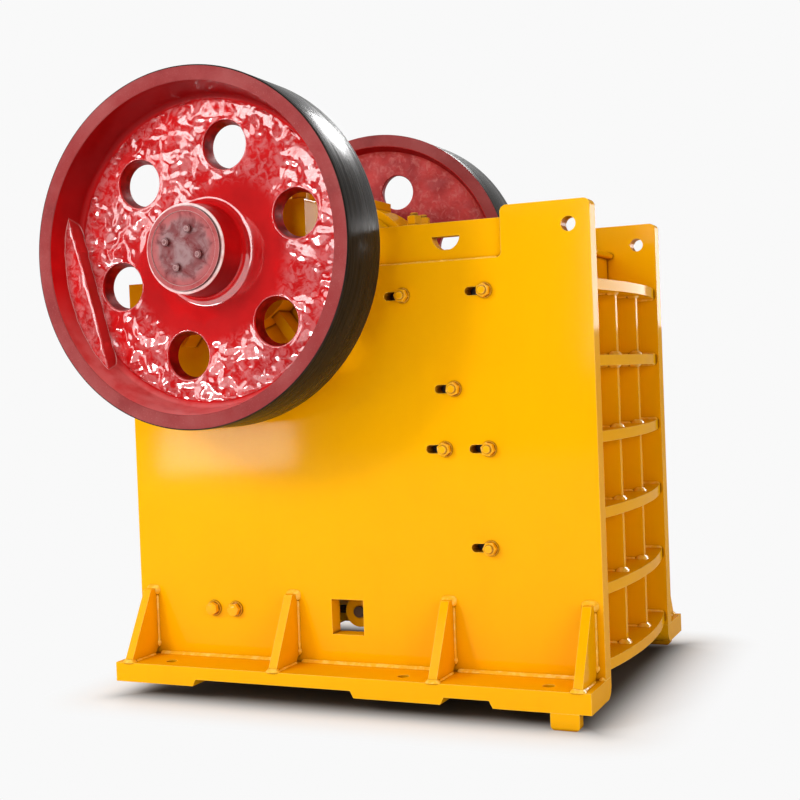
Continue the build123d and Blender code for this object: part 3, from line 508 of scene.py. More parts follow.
def collar_highlight():
    """The end of a hub round its cap, coloured pale pink and white as a painted highlight, with painted shade in
    its narrow corners.
    """
    g = material_graph("collar_highlight")
    normal = g.rounded(0.003)[0]
    # Pale pink and white all over the hub's end: painted highlight
    colour = g.cover(COLLAR_HIGHLIGHT, COLLAR_HIGHLIGHT_PINK, g.varied(22.0, 0.0, 1.0, (0.40, 0.7), detail=4.0))
    # Painted shade in narrow corners
    colour = g.cover(colour, RED_PAINTED_SHADE, g.painted_shade_mask(0.007, *NARROW), 0.95)
    grain = g.bump(g.noise(240.0), 0.0002, normal)
    g.surface(colour, g.varied(30.0, 0.3, 0.45), grain, Specular_IOR_Level=0.3)
    return g.owner


def dusty_red():
    """The matt, dusty side face of a rim, darker in places and speckled, with a painted highlight along its edges.
    """
    g = material_graph("dusty_red")
    normal, edge = g.rounded(0.004)
    colour = g.cover(DUSTY_RED, DUSTY_PALE, g.varied(3.0, 0.0, 1.0, (0.35, 0.68), detail=5.0, roughness=0.65))
    colour = g.cover(colour, DUSTY_DARK, g.varied(5.0, 0.0, 0.5, (0.5, 0.8), detail=4.0))
    colour = g.cover(colour, DUSTY_SPECK_AND_HIGHLIGHT, g.varied(320.0, 0.0, 0.35, (0.62, 0.75), detail=2.0))
    # Pale along edges: painted highlight
    colour = g.cover(colour, DUSTY_SPECK_AND_HIGHLIGHT, edge, 0.4)
    grain = g.bump(g.noise(300.0, detail=4.0, roughness=0.7), 0.0003, normal)
    g.surface(colour, g.varied(20.0, 0.34, 0.50), grain, Specular_IOR_Level=0.15)
    return g.owner


def faded_cap():
    """A hub cap in worn, mottled pink and grey, redder at its border, with painted shade down its sides and in its
    corners and a painted highlight along its edges.
    """
    g = material_graph("faded_red")
    normal, edge = g.rounded(0.003)
    clouds = g.noise(16.0, detail=5.0, roughness=0.6, distortion=1.2)
    colour = g.cover(CAP_RED, CAP_GREY, g.spread(clouds, 0.38, 0.66))
    colour = g.cover(colour, CAP_DARK, g.varied(30.0, 0.0, 0.7, (0.52, 0.8), detail=4.0))
    border = g.math("ADD", g.from_shaft(), g.spread(clouds, *MOST, -0.022, 0.022, smooth=False))
    colour = g.cover(colour, CAP_BORDER, g.spread(border, 0.100, 0.142, 0.0, 0.8))
    # Painted shade in corners
    colour = g.cover(colour, RED_PAINTED_SHADE, g.painted_shade_mask(0.014, 0.95, 0.5), 0.9)
    # Dark on faces that don't face along the shaft: painted shade on the sides of the cap and screws
    painted_shade_sides = g.spread(g.math("ABSOLUTE", g.facing("Y")), 0.75, 0.40)
    colour = g.cover(colour, RED_PAINTED_SHADE, painted_shade_sides, 0.95)
    # Pale along edges: painted highlight
    colour = g.cover(colour, CAP_HIGHLIGHT, edge, 0.8)
    normal = g.bump(clouds, 0.0014, normal)
    normal = g.bump(g.noise(180.0), 0.0003, normal)
    roughness = g.spread(clouds, *MOST, 0.26, 0.44)
    g.surface(colour, roughness, normal, Specular_IOR_Level=0.4, Coat_Weight=0.2, Coat_Roughness=0.12)
    return g.owner


def turned_tread():
    """The black turned face of a rim, with fine lines round it and a painted highlight along its edges."""
    g = material_graph("turned_tread")
    normal, edge = g.rounded(0.004)
    rings = g.noise(1.0, detail=4.0, roughness=0.7, vector=g.stretched((3.0, 420.0, 3.0)))
    colour = g.cover(TREAD_DARK, TREAD_LIGHT, g.spread(rings, *UPPER))
    # Pale steel along edges: painted highlight
    colour = g.cover(colour, STEEL, edge)
    normal = g.bump(rings, 0.00004, normal)
    roughness = g.varied(1.0, 0.20, 0.34, vector=g.stretched((2.0, 60.0, 2.0)))
    shader = g.surface(colour, roughness, normal, Metallic=0.05, Specular_IOR_Level=0.03, Anisotropic=0.5)
    tangent = g.node("Tangent", direction_type="RADIAL", axis="Y")
    g.feed(shader.inputs["Tangent"], tangent.outputs["Tangent"])
    return g.owner


def machined_steel():
    """Turned and ground steel, oiled all over, with painted shade in its corners."""
    g = material_graph("machined_steel")
    normal = g.rounded(0.002)[0]
    lines = g.noise(1.0, detail=4.0, roughness=0.7, vector=g.stretched((4.0, 380.0, 4.0)))
    colour = g.cover(STEEL, STEEL_DARK, g.spread(lines, *UPPER))
    # Darker in corners: painted shade
    colour = g.cover(colour, OILED, g.painted_shade_mask(0.03))
    g.surface(colour, g.spread(lines, *MOST, 0.25, 0.42), g.bump(lines, 0.0001, normal), Metallic=0.9)
    return g.owner


def manganese_steel():
    """Cast manganese steel: dark rough skin with tooth crests worn bright."""
    g = material_graph("manganese_steel")
    normal, edge = g.rounded(0.006)
    skin = g.noise(45.0, detail=6.0, roughness=0.7)
    colour = g.cover(MANGANESE, OILED_BROWN, g.varied(6.0, 0.0, 1.0, UPPER, detail=4.0))
    colour = g.cover(colour, MANGANESE_WORN, edge, g.spread(skin, 0.35, 0.6))
    g.surface(colour, g.spread(skin, *MOST, 0.42, 0.62), g.bump(skin, 0.0012, normal), Metallic=0.6)
    return g.owner


def dark_steel():
    """Black steel with old grease, and a painted highlight along its edges."""
    g = material_graph("dark_steel")
    normal, edge = g.rounded(0.003)
    patches = g.noise(14.0, detail=5.0)
    colour = g.cover(OILED, OILED_BROWN, g.spread(patches, 0.4, 0.7))
    # Paler along edges: painted highlight
    colour = g.cover(colour, STEEL_DARK, edge, 0.5)
    grain = g.bump(g.noise(120.0), 0.0003, normal)
    g.surface(colour, g.spread(patches, *MOST, 0.30, 0.55), grain, Metallic=0.5)
    return g.owner


# Finishes of the record's slots, of each kind of surface on a wheel, and of welds and bolts
paints = {
    "yellow_paint": yellow_paint(),
    "red_enamel": red_enamel(),
    "faded_red": faded_cap(),
    "machined_steel": machined_steel(),
    "manganese_steel": manganese_steel(),
    "dark_steel": dark_steel(),
}
wheel_finishes = {
    "web": paints["red_enamel"],
    "smooth": red_gloss(),
    "face": dusty_red(),
    "tread": turned_tread(),
    "back": dull_enamel(),
    "collar": collar_highlight(),
    "hole": hole_enamel(),
}
wheel_kinds = list(wheel_finishes)
weld_finish = weld_paint()
bolt_finish = bolt_paint()


def dress_cad():
    """Give each CAD node the finish of its slot in the record."""
    for part in frame["record"]["subparts"]:
        mesh = nodes[part["node"]].data
        mesh.materials.clear()
        mesh.materials.append(paints[part["material_slot"]])


def solid_boxes(node):
    """Lowest and highest corner of each separate solid of a CAD node, from rear to front, then upwards."""
    bm = bmesh.new()
    bm.from_mesh(nodes[node].data)
    bmesh.ops.remove_doubles(bm, verts=bm.verts, dist=1e-5)
    waiting = set(bm.verts)
    boxes = []
    while waiting:
        island = [waiting.pop()]
        for vert in island:
            for edge in vert.link_edges:
                other = edge.other_vert(vert)
                if other in waiting:
                    waiting.discard(other)
                    island.append(other)
        low = Vector([min(v.co[axis] for v in island) for axis in range(3)])
        high = Vector([max(v.co[axis] for v in island) for axis in range(3)])
        boxes.append((low, high))
    bm.free()
    return sorted(boxes, key=lambda pair: (round(pair[0].x, 3), round(pair[0].z, 3), pair[0].y))


def finished(name, bm, materials, body, replaced, smooth_angle):
    """Turn a bmesh into a piece that rides on a body."""
    bmesh.ops.recalc_face_normals(bm, faces=bm.faces)
    mesh = bpy.data.meshes.new(name)
    bm.to_mesh(mesh)
    bm.free()
    for material in materials:
        mesh.materials.append(material)
    mesh.shade_smooth()
    mesh.set_sharp_from_angle(angle=math.radians(smooth_angle))
    piece = bpy.data.objects.new(name, mesh)
    bpy.context.scene.collection.objects.link(piece)
    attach(piece, body)
    if replaced:
        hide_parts(*replaced)


def finished_bolts(node, bm):
    """Bolts of the frame, in place of a CAD node's."""
    finished(node + "_worked", bm, [bolt_finish], "frame", [node], 30.0)


def finished_beads(name, bm):
    """Weld beads of the frame."""
    finished("weld_beads_" + name, bm, [weld_finish], "frame", [], 60.0)


def corner_arc(before, corner, after, radius):
    """Points of the arc that rounds one corner of a profile, more of them on a larger arc."""
    a = (Vector(before) - Vector(corner)).normalized()
    b = (Vector(after) - Vector(corner)).normalized()
    half = a.angle(b) / 2
    reach = radius / math.tan(half)
    start = Vector(corner) + a * reach
    end = Vector(corner) + b * reach
    middle = Vector(corner) + (a + b).normalized() * (radius / math.sin(half))
    count = LARGE_ARC_STEPS if radius > LARGE_ARC else SMALL_ARC_STEPS
    points = []
    for index in range(count + 1):
        away = (start.lerp(end, index / count) - middle).normalized()
        points.append(middle + away * radius)
    return points


def divided(points):
    """A closed profile of (r, depth, kind) points, with more points on a stretch longer than its step."""
    result = []
    for index, (r, depth, kind) in enumerate(points):
        following = points[(index + 1) % len(points)]
        across = following[0] - r
        down = following[1] - depth
        count = max(1, math.ceil(math.hypot(across, down) / RING_STEPS.get(kind, 1.0)))
        for part in range(count):
            t = part / count
            result.append((r + across * t, depth + down * t, kind))
    return result


def eased(value, low, high):
    """0 below low, 1 above high and smooth between."""
    t = min(1.0, max(0.0, (value - low) / (high - low)))
    return t * t * (3 - 2 * t)


def cast_relief(place, seed):
    """Height of the casting's skin at a place, about -1 to 1: wrinkles, with calm patches, hub and holes."""
    spot = place + seed
    warped = spot + noise.noise_vector(spot * WARP_SCALE) * WARP
    broad = noise.noise(warped * BROAD_SCALE)
    crease = 1 - 2 * abs(noise.noise(warped * CREASE_SCALE + CREASE_OFFSET))
    small = noise.noise(warped * SMALL_SCALE)
    calm = eased(noise.noise(spot * CALM_SCALE + CALM_OFFSET), *CALM_LEVELS)
    radial = math.hypot(place.x - shaft.x, place.z - shaft.z)
    toward = max(0.0, (place - shaft).dot(ROUGH_SIDE) / radial)
    calm *= eased(radial - ROUGH_START + ROUGH_REACH * toward**2, *ROUGH_LEVELS)
    turn = math.degrees(math.atan2(place.z - shaft.z, place.x - shaft.x)) - HOLE_START
    sector = math.radians((turn + 180 / HOLE_COUNT) % (360 / HOLE_COUNT) - 180 / HOLE_COUNT)
    from_hole = math.hypot(radial * math.cos(sector) - HOLE_CIRCLE, radial * math.sin(sector)) - HOLE_RADIUS
    calm *= eased(from_hole, *HOLE_LEVELS)
    return (BROAD * broad + CREASE * crease + SMALL * small) * max(LEAST_WAVE, calm)


def wheel_profile(radius, width):
    """The flywheel's section as (radius, depth from the outer face, kind of surface)."""
    hub_end = width - HUB_SHORT
    corners = [
        (BORE_RADIUS, 0.0, 0.0, "collar"),
        (HUB_RADIUS, 0.0, EDGE_ROUNDING, "collar"),
        (HUB_RADIUS, COLLAR_DEPTH, 0.0, "smooth"),
        (HUB_FOOT_RADIUS, WEB_DEPTH, HUB_FILLET, "web"),
        (WEB_RADIUS, WEB_DEPTH, RIM_FILLET, "smooth"),
        (RIM_INNER, 0.0, EDGE_ROUNDING, "face"),
        (radius, 0.0, RIM_ROUNDING, "tread"),
        (radius, width, RIM_ROUNDING, "face"),
        (RIM_INNER, width, EDGE_ROUNDING, "smooth"),
        (WEB_RADIUS, WEB_BACK, RIM_FILLET, "back"),
        (HUB_FOOT_RADIUS, WEB_BACK, HUB_FILLET, "smooth"),
        (HUB_RADIUS, hub_end, EDGE_ROUNDING, "smooth"),
        (BORE_RADIUS, hub_end, 0.0, "smooth"),
    ]
    points = []
    for index, (r, depth, rounding, kind) in enumerate(corners):
        if rounding == 0:
            points.append((r, depth, kind))
            continue
        before = corners[index - 1]
        after = corners[(index + 1) % len(corners)]
        for point in corner_arc(before[:2], (r, depth), after[:2], rounding):
            points.append((point.x, point.y, kind))
    return points


def revolve_into(bm, profile, side, outer_y, seed):
    """Revolve a closed profile round the shaft, with the casting's waves on it."""
    rings = []
    for index, (r, depth, kind) in enumerate(profile):
        before = profile[index - 1]
        after = profile[(index + 1) % len(profile)]
        along = Vector((after[0] - before[0], after[1] - before[1])).normalized()
        away = Vector((along.y, -along.x))
        wave = min(WAVES.get(before[2], 0.0), WAVES.get(kind, 0.0))
        ring = []
        for step in range(WHEEL_STEPS):
            angle = 2 * math.pi * step / WHEEL_STEPS
            direction = Vector((math.cos(angle), 0, math.sin(angle)))
            place = shaft + direction * r
            place.y = side * (outer_y - depth)
            lift = wave * cast_relief(place, seed) if wave else 0.0
            moved = shaft + direction * (r + away.x * lift)
            moved.y = side * (outer_y - depth - away.y * lift)
            ring.append(bm.verts.new(moved))
        rings.append(ring)
    for index, (r, depth, kind) in enumerate(profile):
        join_rings(bm, [rings[index], rings[(index + 1) % len(profile)]], wheel_kinds.index(kind))


def join_rings(bm, rings, material=0):
    """Faces between rings of points; a ring of one point closes an end."""
    for first, second in zip(rings, rings[1:]):
        count = max(len(first), len(second))
        for step in range(count):
            onward = (step + 1) % count
            if len(first) == 1:
                corners = (first[0], second[step], second[onward])
            elif len(second) == 1:
                corners = (first[onward], first[step], second[0])
            else:
                corners = (first[step], first[onward], second[onward], second[step])
            bm.faces.new(corners).material_index = material


def hole_cutter(side, outer_y):
    """Round cutters, flared at the web's faces for a lip round each hole, and narrower at the inner face."""
    narrow = HOLE_RADIUS - HOLE_DRAFT
    flare = LIP_WIDTH * LIP[0][0]
    outer = [(0.0, WEB_DEPTH - CUTTER_REACH), (HOLE_RADIUS + flare, WEB_DEPTH - CUTTER_REACH)]
    outer += [(HOLE_RADIUS + LIP_WIDTH * share, WEB_DEPTH + below) for share, below in LIP]
    inner = [(narrow + LIP_WIDTH * share, WEB_BACK - below) for share, below in reversed(LIP)]
    inner += [(narrow + flare, WEB_BACK + CUTTER_REACH), (0.0, WEB_BACK + CUTTER_REACH)]
    wall = len(outer)
    bm = bmesh.new()
    for index in range(HOLE_COUNT):
        angle = math.radians(HOLE_START + index * 360 / HOLE_COUNT)
        centre = shaft + Vector((math.cos(angle), 0, math.sin(angle))) * HOLE_CIRCLE
        rings = []
        for r, depth in outer + inner:
            y = side * (outer_y - depth)
            steps = HOLE_STEPS if r else 1
            turns = [2 * math.pi * step / steps for step in range(steps)]
            points = [(centre.x + r * math.cos(turn), y, centre.z + r * math.sin(turn)) for turn in turns]
            rings.append([bm.verts.new(point) for point in points])
        join_rings(bm, rings[:wall], wheel_kinds.index("smooth"))
        join_rings(bm, rings[wall - 1:wall + 1], wheel_kinds.index("hole"))
        join_rings(bm, rings[wall:], wheel_kinds.index("smooth"))
    bmesh.ops.recalc_face_normals(bm, faces=bm.faces)
    return bm


def counterweight_into(bm, side, outer_y, seed):
    """The cast segment inside the rim, with a rough face and a straight inner side."""
    turn = math.radians(WEIGHT_TURN)
    chord = RIM_INNER - WEIGHT_ACROSS
    reach = RIM_INNER - WEIGHT_GAP
    top_y = side * (outer_y - (WEB_DEPTH - WEIGHT_HEIGHT))
    foot_y = side * (outer_y - (WEB_DEPTH + WEIGHT_SUNK))
    half = math.acos(chord / reach)
    out = Vector((math.cos(turn), 0, math.sin(turn)))
    along = Vector((-math.sin(turn), 0, math.cos(turn)))
    top = []
    foot = []
    for i in range(WEIGHT_STEPS + 1):
        s = -1 + 2 * i / WEIGHT_STEPS
        offset = s * reach * math.sin(half)
        limit = math.sqrt(max(reach**2 - offset**2, chord**2))
        top.append([])
        foot.append([])
        for j in range(WEIGHT_ROWS + 1):
            t = j / WEIGHT_ROWS
            place = shaft + out * (chord + (limit - chord) * t) + along * offset
            place.y = top_y
            # Full waves in the middle, none at the segment's sides, and a rounded inner edge
            fade = min(1.0, 4 * t, 8 * (1 - t) + 0.2, 6 * (1 - abs(s)))
            drop = WEIGHT_ROUNDING * max(0.0, 1 - 12 * t)
            place.y += side * (0.6 * CAST_WAVE * cast_relief(place, seed) * fade - drop)
            top[-1].append(bm.verts.new(place))
            foot[-1].append(bm.verts.new((place.x, foot_y, place.z)))
    web = wheel_kinds.index("web")
    smooth = wheel_kinds.index("smooth")
    for i in range(WEIGHT_STEPS):
        for j in range(WEIGHT_ROWS):
            skin = (top[i][j], top[i + 1][j], top[i + 1][j + 1], top[i][j + 1])
            bm.faces.new(skin).material_index = web
            underside = (foot[i][j], foot[i][j + 1], foot[i + 1][j + 1], foot[i + 1][j])
            bm.faces.new(underside).material_index = smooth
        for j in (0, WEIGHT_ROWS):
            bm.faces.new((top[i][j], foot[i][j], foot[i + 1][j], top[i + 1][j])).material_index = smooth
    for i in (0, WEIGHT_STEPS):
        for j in range(WEIGHT_ROWS):
            bm.faces.new((top[i][j], top[i][j + 1], foot[i][j + 1], foot[i][j])).material_index = smooth
    bmesh.ops.remove_doubles(bm, verts=bm.verts, dist=1e-6)


def cut(piece_name, bm, cutter_bm, materials):
    """The mesh of one bmesh less another."""
    made = []
    for name, source in ((piece_name + "_blank", bm), (piece_name + "_cutter", cutter_bm)):
        bmesh.ops.recalc_face_normals(source, faces=source.faces)
        mesh = bpy.data.meshes.new(name)
        source.to_mesh(mesh)
        source.free()
        for material in materials:
            mesh.materials.append(material)
        obj = bpy.data.objects.new(name, mesh)
        bpy.context.scene.collection.objects.link(obj)
        made.append(obj)
    blank, cutter = made
    modifier = blank.modifiers.new("holes", "BOOLEAN")
    modifier.operation = "DIFFERENCE"
    modifier.solver = "EXACT"
    modifier.object = cutter
    depsgraph = bpy.context.evaluated_depsgraph_get()
    result = bpy.data.meshes.new_from_object(blank.evaluated_get(depsgraph))
    for obj in made:
        bpy.data.objects.remove(obj)
    joined = bmesh.new()
    joined.from_mesh(result)
    return joined


def flywheels():
    """The flywheels, each with its rough cast web, smooth hub, dusty rim face and turned tread."""
    finishes = list(wheel_finishes.values())
    for word, side in SIDES:
        node = "flywheel_" + word
        low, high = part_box(node)
        outer_y = max(abs(low.y), abs(high.y))
        profile = divided(wheel_profile((high.x - low.x) / 2, high.y - low.y))
        bm = bmesh.new()
        revolve_into(bm, profile, side, outer_y, WHEEL_SEEDS[word])
        bm = cut(node, bm, hole_cutter(side, outer_y), finishes)
        counterweight_into(bm, side, outer_y, WHEEL_SEEDS[word])
        finished(node + "_casting", bm, finishes, "rotor", [node], 50.0)


def screw_into(bm, foot, axis, turn, flats, height, washer=0.0, washer_thickness=0.0, bolt=0.0, bolt_end=0.0):
    """A washer, a chamfered hexagon and a threaded bolt end as one closed solid that stands on foot."""
    side_a = axis.orthogonal().normalized()
    side_b = axis.cross(side_a)
    chamfer_radius = flats / 2 * HEXAGON_CHAMFER
    rings = [[bm.verts.new(foot)]]

    def ring(radius_of, height_of):
        made = []
        for step in range(BOLT_STEPS):
            angle = 2 * math.pi * step / BOLT_STEPS
            radius = radius_of(angle)
            direction = side_a * math.cos(angle) + side_b * math.sin(angle)
            made.append(bm.verts.new(foot + direction * radius + axis * height_of(radius)))
        rings.append(made)

    def plain(radius, level):
        ring(lambda angle: radius, lambda r: level)

    def hexagon(angle):
        sector = (angle - turn) % (math.pi / 3) - math.pi / 6
        return flats / 2 / math.cos(sector)

    top = washer_thickness + height
    if washer > 0:
        chamfer = washer_thickness * 0.25
        plain(washer / 2, 0.0)
        plain(washer / 2, washer_thickness - chamfer)
        plain(washer / 2 - chamfer, washer_thickness)
    ring(hexagon, lambda r: washer_thickness)
    ring(hexagon, lambda r: top - max(0.0, (r - chamfer_radius) * CHAMFER_SLOPE))
    plain(chamfer_radius, top)
    if bolt > 0:
        plain(bolt / 2, top)
        level = top
        while level + 2 * THREAD_RIDGE < top + bolt_end:
            plain(bolt / 2 - THREAD_RIDGE * 0.45, level + THREAD_RIDGE * 0.5)
            plain(bolt / 2, level + THREAD_RIDGE)
            level += THREAD_RIDGE
        plain(bolt / 2 - BOLT_CHAMFER, top + bolt_end)
    rings.append([bm.verts.new(foot + axis * (top + bolt_end))])
    join_rings(bm, rings)


def frame_bolts():
    """The cheek plates', the spring beam's and the bearing caps' bolts, each turned a little further."""
    wall_y = abs(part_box("side_wall_right")[0].y)
    turn = FIRST_BOLT_TURN
    for node, sizes, turn_step in BOLT_GROUPS:
        bm = bmesh.new()
        for low, high in solid_boxes(node):
            foot = Vector([(a + b) / 2 for a, b in zip(low, high)])
            axis = Vector((0, -1 if low.y < 0 else 1, 0))
            if node == "cap_bolts":
                axis = UP
                foot.z = low.z
            else:
                foot.y = axis.y * wall_y
            turn += turn_step
            screw_into(bm, foot, axis, turn, **sizes)
        finished_bolts(node, bm)


def hub_cap_screws():
    """Four round screw heads on each hub cap."""
    for word, side in SIDES:
        low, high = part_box("hub_cap_" + word)
        bm = bmesh.new()
        for degrees in HUB_CAP_SCREW_TURNS:
            angle = math.radians(degrees)
            foot = shaft + Vector((math.cos(angle), 0, math.sin(angle))) * HUB_CAP_SCREW_CIRCLE
            foot.y = side * (max(abs(low.y), abs(high.y)) - HUB_CAP_SCREW_SUNK)
            screw_into(bm, foot, Vector((0, side, 0)), angle, **HUB_CAP_SCREW)
        finished("hub_cap_screws_" + word, bm, [paints["faded_red"]], "rotor", [], 30.0)


def bead_into(bm, places, spreads, stand, leg, ripple=ROUGH_RIPPLE):
    """A rippled fillet weld along a path of places.

    At each place, spreads has the direction along the plate that the weld lies on; stand is the direction up
    the other plate.
    """
    lengths = [(b - a).length for a, b in zip(places, places[1:])]
    total = sum(lengths)
    steps = max(6, round(total / BEAD_RIPPLE) * 2)
    rings = []
    for index in range(steps + 1):
        run = total * index / steps
        left = run
        part = 0
        while part < len(lengths) - 1 and left > lengths[part]:
            left -= lengths[part]
            part += 1
        t = min(1.0, left / lengths[part])
        here = places[part].lerp(places[part + 1], t)
        spread = spreads[part].lerp(spreads[part + 1], t).normalized()
        taper = min(1.0, math.sqrt(max(0.02, min(run, total - run) / leg)))
        size = leg * taper * (1 + LEG_VARIATION * noise.noise(here * LEG_SCALE))
        bulge = 1.0 + (ripple if index % 2 else -ripple / 2)
        # Section of the bead in shares of its leg, along the one plate and up the other
        low_face = (0.72 * bulge, 0.36 * bulge)
        high_face = (0.36 * bulge, 0.72 * bulge)
        section = ((-0.04, -0.04), (1.0, -0.03), low_face, high_face, (-0.03, 1.0))
        rings.append([bm.verts.new(here + spread * (a * size) + stand * (b * size)) for a, b in section])
    join_rings(bm, rings)
    bm.faces.new(rings[0])
    bm.faces.new(list(reversed(rings[-1])))


def seam_into(bm, start, end, spread, stand, leg):
    """A straight, smooth fillet weld."""
    bead_into(bm, [start, end], [spread, spread], stand, leg, FINE_RIPPLE)


def wrap_into(bm, corner_a, corner_b, back, away, stand, leg):
    """A weld round the end of a plate: along one side, across its end from corner_a to corner_b, and back.

    back points from the end into the plate, away out of the end.
    """
    along = (corner_b - corner_a).normalized()
    near = back * 0.04
    places = [corner_a + back, corner_a + near, corner_a, corner_b, corner_b + near, corner_b + back]
    spreads = [-along, -along, (away - along).normalized(), (away + along).normalized(), along, along]
    bead_into(bm, places, spreads, stand, leg)


def base_beads():
    """Welds of the gussets to wall and flange, and of the walls to the flanges."""
    for word, side in SIDES:
        out = Vector((0, side, 0))
        wall_low, wall_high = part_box("side_wall_" + word)
        wall_y = side * max(abs(wall_low.y), abs(wall_high.y))
        flange_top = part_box("base_flange_" + word)[1].z
        edges = [wall_low.x]
        bm = bmesh.new()
        for low, high in solid_boxes("gussets_" + word):
            toe_y = side * max(abs(low.y), abs(high.y))
            for x, away in ((low.x, -FRONT), (high.x, FRONT)):
                foot = Vector((x, wall_y, flange_top))
                toe = Vector((x, toe_y, flange_top))
                seam_into(bm, foot + out * COPE, toe - out * GUSSET_WRAP, away, UP, GUSSET_LEG)
                top = Vector((x, wall_y, high.z - GUSSET_WRAP))
                seam_into(bm, foot + UP * COPE, top, away, out, GUSSET_LEG)
                bead_into(bm, [foot + UP * COPE * 1.1, foot + UP * COPE * 2.2], [away, away], out, COPE_LEG)
            toes = [Vector((x, toe_y, flange_top)) for x in (low.x, high.x)]
            wrap_into(bm, *toes, -out * GUSSET_WRAP, out, UP, TOE_LEG)
            tops = [Vector((x, wall_y, high.z)) for x in (low.x, high.x)]
            wrap_into(bm, *tops, -UP * GUSSET_WRAP, UP, out, GUSSET_TOP_LEG)
            edges += [low.x - COPE * 0.2, high.x + COPE * 0.2]
        edges.append(wall_high.x)
        for first, second in zip(edges[::2], edges[1::2]):
            start = Vector((first, wall_y, flange_top))
            seam_into(bm, start, Vector((second, wall_y, flange_top)), out, UP, WALL_LEG)
        finished_beads("base_" + word, bm)


def panel_beads():
    """The thin weld along the foot of each upper panel and up the step of the wall."""
    for word, side in SIDES:
        out = Vector((0, side, 0))
        low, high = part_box("upper_panel_" + word)
        face_y = side * max(abs(low.y), abs(high.y))
        bm = bmesh.new()
        foot = Vector((low.x, face_y, low.z))
        seam_into(bm, foot, Vector((high.x - PANEL_SHORT, face_y, low.z)), out, UP, PANEL_LEG)
        step = Vector((high.x, face_y, low.z + PANEL_SHORT))
        seam_into(bm, step, Vector((high.x, face_y, high.z)), out, -FRONT, STEP_LEG)
        finished_beads("panel_" + word, bm)


def bay_beads(word, plate_x, outward):
    """Welds in the bays of the front or rear wall."""
    bm = bmesh.new()
    along = FRONT * outward
    rib_boxes = sorted(solid_boxes(word + "_ribs"), key=lambda pair: pair[0].z)
    half = max(abs(rib_boxes[0][0].y), abs(rib_boxes[0][1].y))
    for low, high in solid_boxes(word + "_stiffeners"):
        edge_x = high.x if outward > 0 else low.x
        for y, away in ((low.y, -1), (high.y, 1)):
            off = Vector((0, away, 0))
            for z, stand in ((low.z, UP), (high.z, -UP)):
                start = Vector((plate_x, y, z))
                seam_into(bm, start, Vector((edge_x, y, z)) - along * BAY_WRAP, off, stand, BAY_LEG)
            seam_into(bm, Vector((plate_x, y, low.z)), Vector((plate_x, y, high.z)), off, along, BAY_LEG)
        for z, stand, leg in ((low.z, UP, BAY_FOOT_LEG), (high.z, -UP, BAY_TOP_LEG)):
            ends = [Vector((edge_x, y, z)) for y in (low.y, high.y)]
            wrap_into(bm, *ends, -along * BAY_WRAP, along, stand, leg)
    for low, high in rib_boxes:
        edge_x = high.x - RIB_TAPER if outward > 0 else low.x
        for side in (-1, 1):
            inward = Vector((0, -side, 0))
            for z, stand in ((high.z, UP), (low.z, -UP)):
                start = Vector((plate_x, side * half, z))
                seam_into(bm, start, Vector((edge_x, side * half, z)), inward, stand, RIB_END_LEG)
        plate_low = Vector((plate_x, -half, high.z))
        seam_into(bm, plate_low, Vector((plate_x, half, high.z)), along, UP, RIB_LEG)
    finished_beads(word, bm)


def lamp(name, place, target, size, radiance, colour=(1, 1, 1), mirrored=True, shines=True):
    """A rectangular soft light of a given brightness that faces its target.

    It may be kept out of reflections, or seen in reflections alone.
    """
    width, height = size
    data = bpy.data.lights.new(name, "AREA")
    data.shape = "RECTANGLE"
    data.size = width
    data.size_y = height
    data.energy = radiance * math.pi * width * height
    data.color = colour
    obj = bpy.data.objects.new(name, data)
    obj.location = place
    obj.visible_glossy = mirrored
    obj.visible_diffuse = shines
    obj.rotation_euler = (Vector(target) - Vector(place)).to_track_quat("-Z", "Y").to_euler()
    bpy.context.scene.collection.objects.link(obj)


def surroundings():
    """A white backdrop with a dim light, and for shiny faces the backdrop behind the machine only."""
    world = bpy.data.worlds.new("studio")
    bpy.context.scene.world = world
    g = Graph(world, "OutputWorld")
    rays = g.node("LightPath").outputs
    dimmed = g.spread(rays["Is Glossy Ray"], 0.0, 1.0, WORLD_LIGHT, DARK_ROOM, smooth=False)
    light = g.node("Background", {"Color": (1, 1, 1, 1), "Strength": dimmed}).outputs[0]
    backdrop = g.node("Background", {"Color": BACKDROP}).outputs[0]
    behind = g.node("SeparateXYZ", {0: g.coords["Generated"]}).outputs["Y"]
    shiny = g.times(rays["Is Glossy Ray"], g.spread(behind, -0.5, 0.5, 0.0, REAR_SHINE))
    direct = g.math("MAXIMUM", rays["Is Camera Ray"], rays["Is Transmission Ray"])
    g.choice(g.math("MAXIMUM", direct, shiny), light, backdrop)


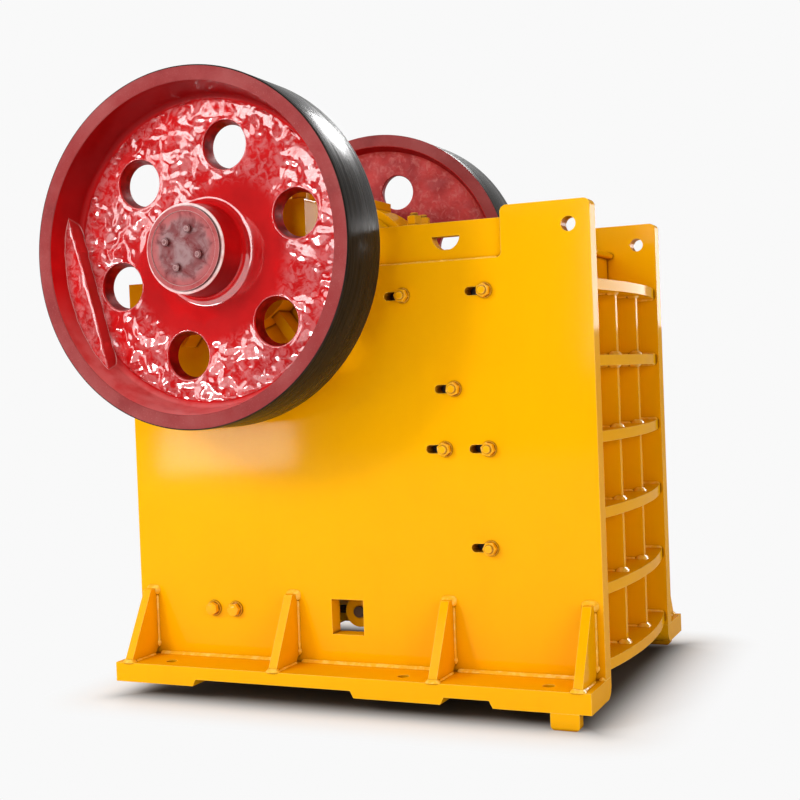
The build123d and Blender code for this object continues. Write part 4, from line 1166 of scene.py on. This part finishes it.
def lamps():
    """Plain soft light, and panels all round the place that the flat faces mirror.

    Rough enamel shows the panels, and smooth plates don't.
    """
    lamp("key", (-3.5, -6.0, 3.9), (-0.1, -0.6, 1.0), (1.1, 1.1), 33.5, mirrored=False)
    for index, (left, right, low, high, radiance) in enumerate(PANELS):
        angle = math.radians((left + right) / 2)
        width = 2 * PANEL_DISTANCE * math.tan(math.radians(left - right) / 2)
        target = Vector((shaft.x, PANEL_TARGET_Y, (low + high) / 2))
        place = target + Vector((-math.sin(angle), -math.cos(angle), 0)) * PANEL_DISTANCE
        lamp("panel_%d" % (index + 1), place, target, (width, high - low), radiance)
    lamp("fill", (5.2, -4.2, 2.0), (0.9, -0.3, 1.0), (3.2, 3.0), 4.2, WARM, mirrored=False)
    lamp("top", (0.2, -0.6, 6.5), (0.2, 0, 0), (3.0, 3.0), 1.8)
    lamp("edge_light", (2.9, 4.3, 2.10), (1.0, 0, 1.6), (3.0, 1.2), 10, shines=False)
    lamp("back", (-5.2, 4.4, 3.0), (0, 0, 1.0), (3.4, 3.0), 7.0, mirrored=False)
    lamp("left", (3.2, 6.4, 3.0), (0.2, 0.4, 1.0), (2.6, 2.6), 5.0, mirrored=False)
    lamp("rim_light", (0.0, 4.2, 4.8), (0.0, -0.8, 2.0), (1.1, 0.8), 50, shines=False)


def floor():
    """A wide pale floor with a painted shadow under the machine, that turns plain white away from it."""
    g = material_graph("floor")
    bm = bmesh.new()
    bmesh.ops.create_grid(bm, x_segments=8, y_segments=8, size=FLOOR_REACH)
    bmesh.ops.translate(bm, verts=bm.verts, vec=(0, 0, cad_low.z))
    mesh = bpy.data.meshes.new("floor")
    bm.to_mesh(mesh)
    bm.free()
    mesh.materials.append(g.owner)
    piece = bpy.data.objects.new("floor", mesh)
    bpy.context.scene.collection.objects.link(piece)
    away = g.node("SeparateXYZ", {0: g.vector("ABSOLUTE", g.coords["Object"])["Vector"]}).outputs
    beyond_x = g.math("SUBTRACT", away["X"], SHADE_LENGTH)
    beyond_y = g.math("SUBTRACT", away["Y"], SHADE_WIDTH)
    outside_x = g.math("MAXIMUM", beyond_x, 0.0)
    outside_y = g.math("MAXIMUM", beyond_y, 0.0)
    outside = g.math("SQRT", g.math("ADD", g.times(outside_x, outside_x), g.times(outside_y, outside_y)))
    inside = g.math("MINIMUM", g.math("MAXIMUM", beyond_x, beyond_y), 0.0)
    far = g.math("ADD", outside, inside)
    # Dark colour under the machine: painted shadow
    ground = g.cover(FLOOR_SHADE, FLOOR_WHITE, g.spread(far, -0.13, 0.15))
    diffuse = g.node("BsdfDiffuse", {"Color": ground}).outputs["BSDF"]
    glow = g.node("Emission", {"Color": BACKDROP}).outputs["Emission"]
    rays = g.node("LightPath").outputs
    seen = g.math("MAXIMUM", rays["Is Camera Ray"], rays["Is Glossy Ray"])
    g.choice(g.times(seen, g.spread(far, -0.12, 0.34)), diffuse, glow)


def camera():
    """The photograph's view."""
    data = bpy.data.cameras.new("camera")
    data.lens = CAMERA_LENS
    data.sensor_width = SENSOR_WIDTH
    data.sensor_fit = "HORIZONTAL"
    obj = bpy.data.objects.new("camera", data)
    back = CAMERA_RIGHT.cross(CAMERA_UP)
    turn = Matrix((CAMERA_RIGHT, CAMERA_UP, back)).transposed()
    obj.matrix_world = Matrix.Translation(CAMERA_PLACE) @ turn.to_4x4()
    bpy.context.scene.collection.objects.link(obj)
    bpy.context.scene.camera = obj


camera()
surroundings()
lamps()
floor()
dress_cad()
flywheels()
frame_bolts()
hub_cap_screws()
base_beads()
panel_beads()
bay_beads("front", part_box("front_stiffeners")[0].x, 1)
bay_beads("rear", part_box("rear_stiffeners")[1].x, -1)
bpy.context.scene.view_settings.view_transform = "Standard"
